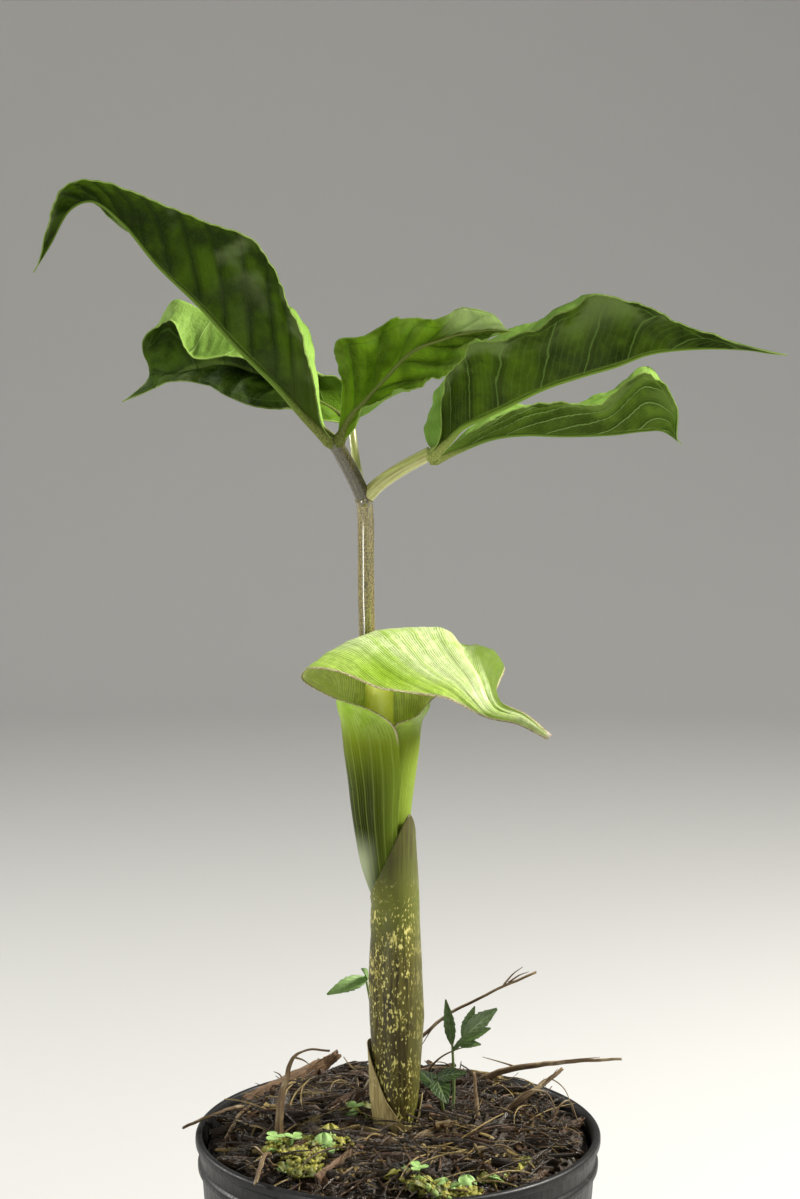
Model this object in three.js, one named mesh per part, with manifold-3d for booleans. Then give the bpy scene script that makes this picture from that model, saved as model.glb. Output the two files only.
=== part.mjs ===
// A flowering aroid, Arisaema sazensoo, in a black nursery pot filled with mulched soil.
// Millimetres, +Z up. The origin is the centre of the pot's underside, and the flower faces -Y.
import * as THREE from 'three';
import { mergeVertices } from 'three/addons/utils/BufferGeometryUtils.js';
import Module from 'manifold-3d';

const wasm = await Module();
wasm.setup();

// Driving dimensions

const GAP = 0.3;

const POT_HEIGHT = 140;
const POT_RIM_RADIUS = 82.5;
const POT_BASE_RADIUS = 59;
const POT_WALL = 1.6;
const POT_SIDES = 32;
const DRAIN_HOLES = 6;
const DRAIN_HOLE_RADIUS = 5;
const DRAIN_RING_RADIUS = 38;

const SOIL_TOP = 124;
const MULCH_RADIUS = 77.6;
const MULCH_EDGE_TOP = 133;
const MULCH_MOUND = 8.5;
const MULCH_CHIPS = 20;

const BLADE = 0.7;
const STALK_SIDES = 8;

const material = (color, roughness) => new THREE.MeshStandardMaterial({ color, roughness, metalness: 0 });
const BLACK_PLASTIC = material(0x101113, 0.5);
const SOIL = material(0x241a12, 0.95);
const BARK = material(0x3a2a1c, 0.9);
const RED_BARK = material(0x7a4a30, 0.85);
const DRY_STEM = material(0x9a7b55, 0.8);
const MOSS = material(0x7f8a2c, 0.95);
const WEED = material(0x6fa04a, 0.6);
const LEAF = material(0x3f6b1c, 0.45);
const SPATHE = material(0xa4c552, 0.4);
const SPADIX = material(0xc9cf6a, 0.5);
const PETIOLE = material(0x6e6238, 0.4);
const MOTTLED = material(0x7a6f3c, 0.5);
const PAPERY = material(0xb3a468, 0.6);

// Small helpers

const vector = (p) => new THREE.Vector3(...p);
const curveThrough = (points) => new THREE.CatmullRomCurve3(points.map(vector), false, 'centripetal');
const mix = THREE.MathUtils.lerp;

// A repeatable random number between 0 and 1.
function seededRandom(seed) {
  let state = seed;
  return () => {
    state = (state * 1664525 + 1013904223) % 4294967296;
    return state / 4294967296;
  };
}

function indexedGeometry(points, triangles) {
  const geometry = new THREE.BufferGeometry();
  const flat = points.flatMap((p) => [p.x, p.y, p.z]);
  geometry.setAttribute('position', new THREE.Float32BufferAttribute(flat, 3));
  geometry.setIndex(triangles.flat());
  return geometry;
}

// Joining and cutting

function toSolid(geometry) {
  const bare = geometry.clone();
  bare.deleteAttribute('normal');
  bare.deleteAttribute('uv');
  const merged = mergeVertices(bare, 1e-4);
  const vertProperties = new Float32Array(merged.attributes.position.array);
  const triVerts = new Uint32Array(merged.index.array);
  return new wasm.Manifold(new wasm.Mesh({ numProp: 3, vertProperties, triVerts }));
}

function toGeometry(solid) {
  const mesh = solid.getMesh();
  const geometry = new THREE.BufferGeometry();
  geometry.setAttribute('position', new THREE.Float32BufferAttribute(mesh.vertProperties, 3));
  geometry.setIndex([...mesh.triVerts]);
  return geometry;
}

function joined(geometries) {
  return geometries.map(toSolid).reduce((sum, solid) => sum.add(solid));
}

// Loose scraps that a cut leaves behind are dropped.
function largestBody(solid) {
  const bodies = solid.decompose();
  return bodies.reduce((best, body) => (body.volume() > best.volume() ? body : best));
}

// Closed surfaces

// Rings of points, one above the other, joined to one closed body with both ends capped.
function loft(rings) {
  const count = rings[0].length;
  const points = rings.flat();
  const triangles = [];
  for (let row = 0; row + 1 < rings.length; row += 1) {
    for (let i = 0; i < count; i += 1) {
      const next = (i + 1) % count;
      const a = row * count + i;
      const b = row * count + next;
      const c = (row + 1) * count + next;
      const d = (row + 1) * count + i;
      triangles.push([a, b, c], [a, c, d]);
    }
  }
  const firstCentre = points.length;
  points.push(centreOf(rings[0]));
  const lastCentre = points.length;
  points.push(centreOf(rings[rings.length - 1]));
  const lastRow = (rings.length - 1) * count;
  for (let i = 0; i < count; i += 1) {
    const next = (i + 1) % count;
    triangles.push([firstCentre, next, i]);
    triangles.push([lastCentre, lastRow + i, lastRow + next]);
  }
  return indexedGeometry(points, triangles);
}

function centreOf(ring) {
  const sum = ring.reduce((total, p) => total.add(p), new THREE.Vector3());
  return sum.divideScalar(ring.length);
}

// Rings that close on themselves, as a sleeve does: the last ring meets the first.
function closedLoft(rings) {
  const count = rings[0].length;
  const triangles = [];
  rings.forEach((ring, row) => {
    const above = (row + 1) % rings.length;
    for (let i = 0; i < count; i += 1) {
      const next = (i + 1) % count;
      const a = row * count + i;
      const b = row * count + next;
      const c = above * count + next;
      const d = above * count + i;
      triangles.push([a, b, c], [a, c, d]);
    }
  });
  return indexedGeometry(rings.flat(), triangles);
}

// A round stalk along a curve. radiusAt takes the distance along it, from 0 to 1.
function stalk(points, radiusAt, { steps = 12, sides = STALK_SIDES, flat = 1, grow = 0 } = {}) {
  const curve = curveThrough(points);
  const reference = new THREE.Vector3(0.31, -0.95, 0.05).normalize();
  const rings = [];
  for (let row = 0; row <= steps; row += 1) {
    const t = row / steps;
    const centre = curve.getPoint(t);
    const along = curve.getTangent(t);
    const across = new THREE.Vector3().crossVectors(along, reference).normalize();
    const over = new THREE.Vector3().crossVectors(along, across);
    const radius = radiusAt(t) + grow;
    const depth = radiusAt(t) * flat + grow;
    const reach = row === 0 ? -grow : row === steps ? grow : 0;
    const ring = [];
    for (let i = 0; i < sides; i += 1) {
      const angle = (2 * Math.PI * i) / sides;
      const p = centre.clone().addScaledVector(along, reach);
      p.addScaledVector(across, radius * Math.cos(angle));
      p.addScaledVector(over, depth * Math.sin(angle));
      ring.push(p);
    }
    rings.push(ring);
  }
  return loft(rings);
}

// A thin sheet with a front and a back split into triangles alike.
// pointAt takes u along the sheet and v across it, both from 0 to 1.
function sheet(pointAt, thicknessAt, uSteps, vSteps) {
  const middle = [];
  for (let i = 0; i <= uSteps; i += 1) {
    for (let j = 0; j <= vSteps; j += 1) {
      middle.push(pointAt(i / uSteps, j / vSteps));
    }
  }
  const at = (i, j) => i * (vSteps + 1) + j;
  const normalAt = (i, j) => {
    const along = middle[at(Math.min(i + 1, uSteps), j)].clone().sub(middle[at(Math.max(i - 1, 0), j)]);
    const across = middle[at(i, Math.min(j + 1, vSteps))].clone().sub(middle[at(i, Math.max(j - 1, 0))]);
    return along.cross(across).normalize();
  };
  const front = [];
  const back = [];
  for (let i = 0; i <= uSteps; i += 1) {
    for (let j = 0; j <= vSteps; j += 1) {
      const normal = normalAt(i, j);
      const { above, below } = thicknessAt(i / uSteps, j / vSteps);
      front.push(middle[at(i, j)].clone().addScaledVector(normal, above));
      back.push(middle[at(i, j)].clone().addScaledVector(normal, -below));
    }
  }
  const offset = front.length;
  const triangles = [];
  for (let i = 0; i < uSteps; i += 1) {
    for (let j = 0; j < vSteps; j += 1) {
      const a = at(i, j);
      const b = at(i + 1, j);
      const c = at(i + 1, j + 1);
      const d = at(i, j + 1);
      triangles.push([a, b, c], [a, c, d]);
      triangles.push([a + offset, c + offset, b + offset], [a + offset, d + offset, c + offset]);
    }
  }
  const upTo = (steps) => [...Array(steps).keys()];
  const border = [
    ...upTo(uSteps).map((i) => at(i, 0)),
    ...upTo(vSteps).map((j) => at(uSteps, j)),
    ...upTo(uSteps).map((i) => at(uSteps - i, vSteps)),
    ...upTo(vSteps).map((j) => at(0, vSteps - j)),
  ];
  border.forEach((a, k) => {
    const b = border[(k + 1) % border.length];
    triangles.push([b, a, a + offset], [b, a + offset, b + offset]);
  });
  return indexedGeometry([...front, ...back], triangles);
}

// Pot

function pot() {
  const rim = POT_RIM_RADIUS;
  const outline = [
    [0, 0],
    [POT_BASE_RADIUS - 2, 0],
    [POT_BASE_RADIUS, 2],
    [76.6, 112],
    [79.2, 113.5],
    [80, 125],
    [81.6, 126.2],
    [81.6, 128.6],
    [80.4, 130],
    [80.6, 135.4],
    [rim, 136.4],
    [rim, POT_HEIGHT - 1],
    [rim - 0.8, POT_HEIGHT],
    [rim - 2.6, POT_HEIGHT],
    [80.6 - POT_WALL, 137.6],
    [80 - POT_WALL, 125],
    [79.2 - POT_WALL, 115],
    [76.6 - POT_WALL, 113],
    [POT_BASE_RADIUS - POT_WALL, 3],
    [POT_BASE_RADIUS - POT_WALL - 1, 2],
    [0, 2],
  ];
  const turned = new THREE.LatheGeometry(outline.map(([x, y]) => new THREE.Vector2(x, y)), POT_SIDES);
  turned.rotateX(Math.PI / 2);
  let body = toSolid(turned);
  for (let i = 0; i < DRAIN_HOLES; i += 1) {
    const angle = (2 * Math.PI * i) / DRAIN_HOLES;
    const hole = new THREE.CylinderGeometry(DRAIN_HOLE_RADIUS, DRAIN_HOLE_RADIUS, 8, 10);
    hole.rotateX(Math.PI / 2);
    hole.translate(DRAIN_RING_RADIUS * Math.cos(angle), DRAIN_RING_RADIUS * Math.sin(angle), 1);
    body = body.subtract(toSolid(hole));
  }
  return body;
}

// Inner radius of the pot at a height.
function potInnerRadius(z) {
  const low = POT_BASE_RADIUS - POT_WALL;
  const high = 76.6 - POT_WALL;
  return z < 113 ? mix(low, high, (z - 3) / 110) : mix(79.2 - POT_WALL, 80.6 - POT_WALL, (z - 115) / 22.6);
}

// Soil and mulch

function soil(footHole) {
  const inset = 0.5;
  const levels = [2.4, 60, 112.5, 116, SOIL_TOP];
  const outline = [[0, levels[0]]];
  levels.forEach((z) => outline.push([potInnerRadius(z < 3 ? 3 : z) - inset - (z < 3 ? 1.2 : 0), z]));
  outline.push([0, SOIL_TOP]);
  const turned = new THREE.LatheGeometry(outline.map(([x, y]) => new THREE.Vector2(x, y)), POT_SIDES);
  turned.rotateX(Math.PI / 2);
  return toSolid(turned).subtract(footHole);
}

// Height of the mulch: a low mound, higher behind the plant than in front, with lumps.
function mulchHeight(x, y) {
  const reach = Math.min(1, Math.hypot(x, y - 8) / MULCH_RADIUS);
  const mound = MULCH_MOUND * (1 - reach ** 5) + 0.035 * y;
  const broad = Math.sin(x * 0.11 + 1.2) * Math.cos(y * 0.13 - 0.6);
  const fine = Math.sin(x * 0.37 - y * 0.22) + Math.cos(y * 0.41 + x * 0.17);
  return MULCH_EDGE_TOP + mound + 1.1 * broad + 0.55 * fine;
}

function mulchBed() {
  const bottom = SOIL_TOP + GAP;
  const sides = 34;
  const radii = [MULCH_RADIUS, 71, 61, 49, 36, 23, 10];
  const ring = (radius, heightAt) => {
    const points = [];
    for (let i = 0; i < sides; i += 1) {
      const angle = (2 * Math.PI * i) / sides;
      const x = radius * Math.cos(angle);
      const y = radius * Math.sin(angle);
      points.push(new THREE.Vector3(x, y, heightAt(x, y)));
    }
    return points;
  };
  const rings = [ring(MULCH_RADIUS, () => bottom), ...radii.map((radius) => ring(radius, mulchHeight))];
  return loft(rings);
}

// One splinter of bark, narrower at its far end.
function barkChip(length, width, thickness) {
  const chip = new THREE.BoxGeometry(length, width, thickness);
  const position = chip.attributes.position;
  for (let i = 0; i < position.count; i += 1) {
    if (position.getX(i) > 0) {
      position.setY(i, position.getY(i) * 0.45 + width * 0.12);
    }
  }
  return chip;
}

function mulch(beds) {
  const random = seededRandom(7);
  let body = toSolid(mulchBed());
  for (let i = 0; i < MULCH_CHIPS; i += 1) {
    const length = mix(7, 26, random() ** 1.6);
    const width = mix(2, 6, random());
    const thickness = mix(1.2, 2.6, random());
    const radius = Math.sqrt(random()) * (MULCH_RADIUS - length * 0.5 - 1);
    const angle = random() * 2 * Math.PI;
    const x = radius * Math.cos(angle);
    const y = radius * Math.sin(angle);
    const chip = barkChip(length, width, thickness);
    chip.rotateX((random() - 0.5) * 1.2);
    chip.rotateY((random() - 0.5) * 0.5);
    chip.rotateZ(random() * 2 * Math.PI);
    chip.translate(x, y, mulchHeight(x, y) + 0.2);
    body = body.add(toSolid(chip));
  }
  return largestBody(beds.reduce((rest, bed) => rest.subtract(bed), body));
}

// Dry pieces on the mulch. Each is a flattened stalk, and is made again a little larger to cut its bed.

const dryPieces = [
  {
    name: 'red_bark_strip',
    finish: RED_BARK,
    points: [[-64, 37, 138], [-48, 49, 142.5], [-33, 60, 147], [-27, 61, 151]],
    radiusAt: (t) => mix(2.8, 1.8, t) * (0.75 + 0.25 * Math.sin(Math.PI * t)),
    flat: 0.45,
  },
  {
    name: 'hooked_stem',
    finish: DRY_STEM,
    points: [
      [-48, -17, 133], [-47, -16.5, 156], [-45, -13, 165], [-42, -9, 173], [-37, -8, 175.5],
      [-28, -7, 175],
    ],
    radiusAt: (t) => mix(1.9, 0.8, Math.min(1, t * 1.3)),
    flat: 0.5,
  },
  {
    name: 'long_splinter',
    finish: DRY_STEM,
    points: [[30, 50, 140.5], [44, 50, 147.5], [69, 50, 151.5], [95, 50, 153]],
    radiusAt: (t) => mix(1.9, 1.0, t),
    flat: 0.5,
  },
  {
    name: 'diagonal_splinter',
    finish: DRY_STEM,
    points: [[38, 14, 137], [50, 12.5, 147.5], [61, 16, 154], [68, 20, 158.5]],
    radiusAt: (t) => mix(1.7, 0.8, t),
    flat: 0.5,
  },
  {
    name: 'upright_splinter',
    finish: DRY_STEM,
    points: [[33.5, 5, 134], [32.5, 5, 145], [31, 7, 161]],
    radiusAt: (t) => mix(1.4, 0.6, t),
    flat: 0.5,
  },
  {
    name: 'bark_stub',
    finish: RED_BARK,
    points: [[19.5, -3, 138], [15.5, 6, 142], [11.5, 13.5, 145.5]],
    radiusAt: (t) => mix(2.9, 2.0, t),
    flat: 0.55,
  },
  {
    name: 'forked_twig',
    finish: DRY_STEM,
    points: [
      [-19, 31, 136], [-10, 31, 152], [1, 30, 162], [11, 30, 170], [20, 30, 178], [34, 30, 186],
      [57, 30, 197],
    ],
    radiusAt: (t) => mix(1.0, 0.7, t),
    flat: 1,
  },
  {
    name: 'rim_strip',
    finish: DRY_STEM,
    points: [[-51, -32, 139], [-52, -42, 144.2], [-53.5, -56, 143.6], [-54.5, -66, 141.8]],
    radiusAt: (t) => mix(1.6, 1.1, t),
    flat: 0.5,
  },
  {
    name: 'front_strip',
    finish: RED_BARK,
    points: [[-31, -53, 138.5], [-22, -39, 141], [-13, -24, 142.5]],
    radiusAt: (t) => mix(2.2, 1.5, t),
    flat: 0.45,
  },
  {
    name: 'left_twig',
    finish: DRY_STEM,
    points: [[-59, 29, 138.5], [-66, 20, 142], [-77, 8, 142.6], [-87, -4, 141.8]],
    radiusAt: (t) => mix(0.9, 0.6, t),
    flat: 1,
  },
  {
    name: 'pale_straw',
    finish: DRY_STEM,
    points: [[-70, -9, 137.5], [-66, 8, 142], [-62, 23, 141.5]],
    radiusAt: (t) => mix(0.8, 0.6, t),
    flat: 1,
  },
];

function dryPiece(piece, grow = 0) {
  const steps = piece.points.length + 2;
  return stalk(piece.points, piece.radiusAt, { steps, sides: 6, flat: piece.flat, grow });
}

// Moss cushions with the seed leaves that stand in them

const mossPatches = [
  {
    name: 'moss_left',
    cushions: [[-37, -33, 9], [-27, -24, 8], [-46, -26, 7], [-36, -44, 7]],
    seedLeaves: [[-49, -25], [-41, -28]],
  },
  {
    name: 'moss_front',
    cushions: [[8, -56, 7], [16, -60, 7], [26, -59, 6]],
    seedLeaves: [[8, -55]],
  },
  {
    name: 'moss_foot',
    cushions: [[-16, 2, 4.5], [-20, 9, 5]],
    seedLeaves: [[-18, 5]],
  },
];

function mossPatch(patch, grow = 0) {
  const parts = patch.cushions.map(([x, y, radius]) => {
    const dome = new THREE.SphereGeometry(radius + grow, 7, 5);
    dome.rotateX(Math.PI / 2);
    dome.scale(1, 1, 0.5);
    dome.translate(x, y, mulchHeight(x, y) + 0.6);
    return dome;
  });
  patch.seedLeaves.forEach(([x, y], i) => {
    parts.push(...seedLeafPair([x, y, mulchHeight(x, y) + 2], i, grow));
  });
  return joined(parts);
}

// Two round leaves on a short stalk.
function seedLeafPair([x, y, z], turn, grow) {
  const height = 5;
  const route = [[x, y, z - 2], [x, y, z + height * 0.5], [x, y, z + height + 0.5]];
  const stem = stalk(route, () => 0.7, { steps: 2, sides: 4, grow });
  const leaves = [0, Math.PI].map((side) => {
    const leaf = new THREE.SphereGeometry(1, 6, 4);
    leaf.scale(2.8 + grow, 1.9 + grow, 0.5 + grow);
    leaf.translate(2.3, 0, 0.7);
    leaf.rotateY(-0.35);
    leaf.rotateZ(side + turn * 1.1);
    leaf.translate(x, y, z + height - 0.4);
    return leaf;
  });
  return [stem, ...leaves];
}

// Weeds: small leafy seedlings with flat blades on thin stalks

// A blade from base to tip, widest in its middle, gently folded along its middle line.
function weedBlade(base, tip, width, fold = 0.25) {
  const start = vector(base);
  const end = vector(tip);
  const along = end.clone().sub(start);
  const across = new THREE.Vector3().crossVectors(along, new THREE.Vector3(0, 0, 1)).normalize();
  const up = new THREE.Vector3().crossVectors(across, along).normalize();
  const pointAt = (u, v) => {
    const side = v * 2 - 1;
    const half = 0.5 * width * (0.14 + 0.86 * Math.sin(Math.PI * u ** 0.8));
    const p = start.clone().addScaledVector(along, u);
    p.addScaledVector(across, side * half);
    p.addScaledVector(up, fold * Math.abs(side) * half + 0.12 * width * Math.sin(Math.PI * u));
    return p;
  };
  return sheet(pointAt, () => ({ above: 0.35, below: 0.35 }), 4, 2);
}

const weedStems = {
  weed_left: [[-6, 22, 132], [-8, 23, 160], [-11, 21, 184], [-13.5, 18, 199]],
  weed_right: [[22, 12, 134], [23, 13, 152], [22.5, 13, 168], [22, 13, 177]],
  weed_low: [[20, 13, 134], [18, 10, 148], [15.5, 6.5, 157]],
};

// Base, tip and width of each blade.
const weedBlades = {
  weed_left: [
    [[-12.5, 18, 198], [-29, 8, 194], 6],
    [[-12.5, 18, 198], [-15, 10, 207], 5],
    [[-11.5, 20, 190], [2, 30, 196], 6],
  ],
  weed_right: [
    [[22.5, 13, 166], [19, 11, 190], 7.5],
    [[22.5, 13, 168], [30, 11, 177], 3.2],
    [[27, 11.5, 174], [40, 8, 186], 7.5],
    [[28, 11.5, 174], [33, 13, 187], 6],
    [[26, 12, 172], [41, 12, 176], 5.5],
    [[24, 13, 170], [36, 9, 168], 4],
  ],
  weed_low: [
    [[15.5, 7.2, 156], [18, -7, 150], 8],
    [[15.5, 7.2, 156.5], [28, 3, 161.5], 5.5],
    [[16.8, 8.4, 153], [9, 22, 157], 6],
  ],
};

function weedStalk(name, grow = 0) {
  return stalk(weedStems[name], (t) => mix(0.9, 0.6, t), { steps: 5, sides: 5, grow });
}

function weed(name) {
  const blades = weedBlades[name].map(([base, tip, width]) => weedBlade(base, tip, width));
  return joined([weedStalk(name), ...blades]);
}

// Pseudostem: the mottled sheath. It is solid below and opens above into a cup, which holds the flower
// and the leaf stalk.

const STEM_FOOT = 112;
const CUP_FLOOR = 223;
const CUP_WALL = 0.8;
const CUP_LOW_EDGE = 233;
const STEM_SIDES = 20;

const stemSections = [
  { z: STEM_FOOT, x: -0.5, y: 0, wide: 7.5, deep: 7.5 },
  { z: 144, x: -0.6, y: 0, wide: 8.4, deep: 8.6 },
  { z: 154, x: -1.0, y: 0, wide: 9.3, deep: 9.4 },
  { z: 175, x: -0.4, y: 0.5, wide: 10.4, deep: 10.4 },
  { z: 187, x: -0.4, y: 1, wide: 11.2, deep: 11.2 },
  { z: 203, x: -1.2, y: 1.5, wide: 10.9, deep: 11.6 },
  { z: 221, x: -0.8, y: 2, wide: 10.1, deep: 12 },
  { z: 234, x: -1.5, y: 2.2, wide: 10.3, deep: 13 },
  { z: 248, x: -4.0, y: 1.8, wide: 12, deep: 15.6 },
  { z: 262, x: -5.8, y: -0.4, wide: 13, deep: 13.7 },
  { z: 276, x: -6.3, y: -0.2, wide: 14, deep: 14.4 },
];

// The sheath's centre and half widths at a height, smooth between its sections.
function stemAt(z) {
  const last = stemSections.length - 1;
  const above = Math.min(last, Math.max(1, stemSections.findIndex((section) => section.z >= z)));
  const low = stemSections[above - 1];
  const high = stemSections[above];
  const t = THREE.MathUtils.clamp((z - low.z) / (high.z - low.z), 0, 1);
  const between = (key) => mix(low[key], high[key], t);
  return { x: between('x'), y: between('y'), wide: between('wide'), deep: between('deep') };
}

// angle 0 is to the right (+X) and a quarter turn is to the back (+Y).
function stemPoint(z, angle, stand) {
  const { x, y, wide, deep } = stemAt(z);
  return new THREE.Vector3(x + (wide + stand) * Math.cos(angle), y + (deep + stand) * Math.sin(angle), z);
}

// How far one direction lies from another, in radians.
const turnBetween = (a, b) => Math.abs(Math.atan2(Math.sin(a - b), Math.cos(a - b)));

// The cup's upper edge: a pointed tip at the front right, and raised at the back behind the leaf stalk.
function cupTop(angle) {
  const tip = 39 * Math.exp(-((turnBetween(angle, -0.67) / 1.4) ** 1.8));
  const back = 9 * Math.max(0, Math.sin(angle)) ** 2;
  return CUP_LOW_EDGE + tip + back;
}

function pseudostem() {
  const cupRing = (rise, stand) => stemRing((angle) => mix(CUP_FLOOR, cupTop(angle), rise), stand);
  const rings = [STEM_FOOT, 132, 144, 154, 165, 175, 187, 203, 213].map((z) => stemRing(() => z, 0));
  const rises = [0, 0.2, 0.4, 0.6, 0.8, 1];
  rises.forEach((rise) => rings.push(cupRing(rise, 0)));
  [...rises].reverse().forEach((rise) => rings.push(cupRing(rise, -CUP_WALL)));
  return loft(rings);
}

// Basal sheath: a papery sleeve round the foot, with a pointed tip on the left.

const BASAL_FOOT = 130;
const BASAL_WALL = 0.8;
const BASAL_STAND = 0.5;

function basalTop(angle) {
  const tip = 33 * Math.exp(-((turnBetween(angle, 2.9) / 1.45) ** 2.6));
  const right = 12 * Math.exp(-((turnBetween(angle, 0) / 0.5) ** 2));
  return 143 + tip + right;
}

function stemRing(zAt, stand) {
  const points = [];
  for (let i = 0; i < STEM_SIDES; i += 1) {
    const angle = (2 * Math.PI * i) / STEM_SIDES;
    points.push(stemPoint(zAt(angle), angle, stand));
  }
  return points;
}

function basalSheath() {
  const rises = [0, 0.25, 0.5, 0.75, 1];
  const ring = (rise, stand) => stemRing((angle) => mix(BASAL_FOOT, basalTop(angle), rise), stand);
  const outer = rises.map((rise) => ring(rise, BASAL_STAND + BASAL_WALL));
  const inner = [...rises].reverse().map((rise) => ring(rise, BASAL_STAND));
  return closedLoft([...outer, ...inner]);
}

// The hole that the foot and its basal sheath stand in.
function footBed() {
  const sheath = BASAL_STAND + BASAL_WALL + GAP;
  const levels = [
    [STEM_FOOT - GAP, GAP], [BASAL_FOOT - 1, GAP], [BASAL_FOOT - GAP, sheath], [150, sheath],
  ];
  return toSolid(loft(levels.map(([z, stand]) => stemRing(() => z, stand))));
}

// Petiole: the leaf stalk, its fork, two branches and the stalk of the rear leaflet

const FORK = [-13.5, 18, 396];
const petioleRoute = [
  [-1.2, 7.2, CUP_FLOOR + 1], [-2.5, 9.4, 237], [-4.5, 12.9, 251], [-8, 18.5, 275],
  [-10.5, 23, 300], [-12, 26.5, 320], [-12.5, 27, 336], [-13, 25, 362], [-13, 21, 387], FORK,
];
const leftBranch = [FORK, [-17, 15.5, 404], [-21, 12.8, 412], [-25, 10.2, 419.6]];
const rightBranch = [FORK, [-8, 16.5, 402], [2, 14.5, 409], [12.4, 13.4, 414.4]];
const rearBranch = [FORK, [-16, 22, 406], [-17.8, 26.5, 417], [-18.4, 30.5, 424.8]];

function petiole(grow = 0) {
  const main = stalk(petioleRoute, (t) => mix(3.5, 3.3, t), { steps: 18, grow });
  const left = stalk(leftBranch, (t) => mix(3.2, 2.9, t), { steps: 5, grow });
  const right = stalk(rightBranch, (t) => mix(3.0, 2.7, t), { steps: 6, grow });
  const rear = stalk(rearBranch, (t) => mix(2.2, 1.7, t), { steps: 6, grow });
  const joint = new THREE.SphereGeometry(3.7 + grow, 10, 8);
  joint.translate(FORK[0], FORK[1], FORK[2]);
  return joined([main, left, right, rear, joint]);
}

// Leaflets. Each has three lines from base to tip: its midrib, the edge seen from the front, and the far
// edge. A crest is the line where a half folds over. The halves fold up from the midrib, with their
// undersides outward, and the fold opens flat within LEVEL_END of the base and of the tip.

const LEVEL_END = 0.12;
const LEAF_ROWS = 22;
const LEAF_COLUMNS = 10;

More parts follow.
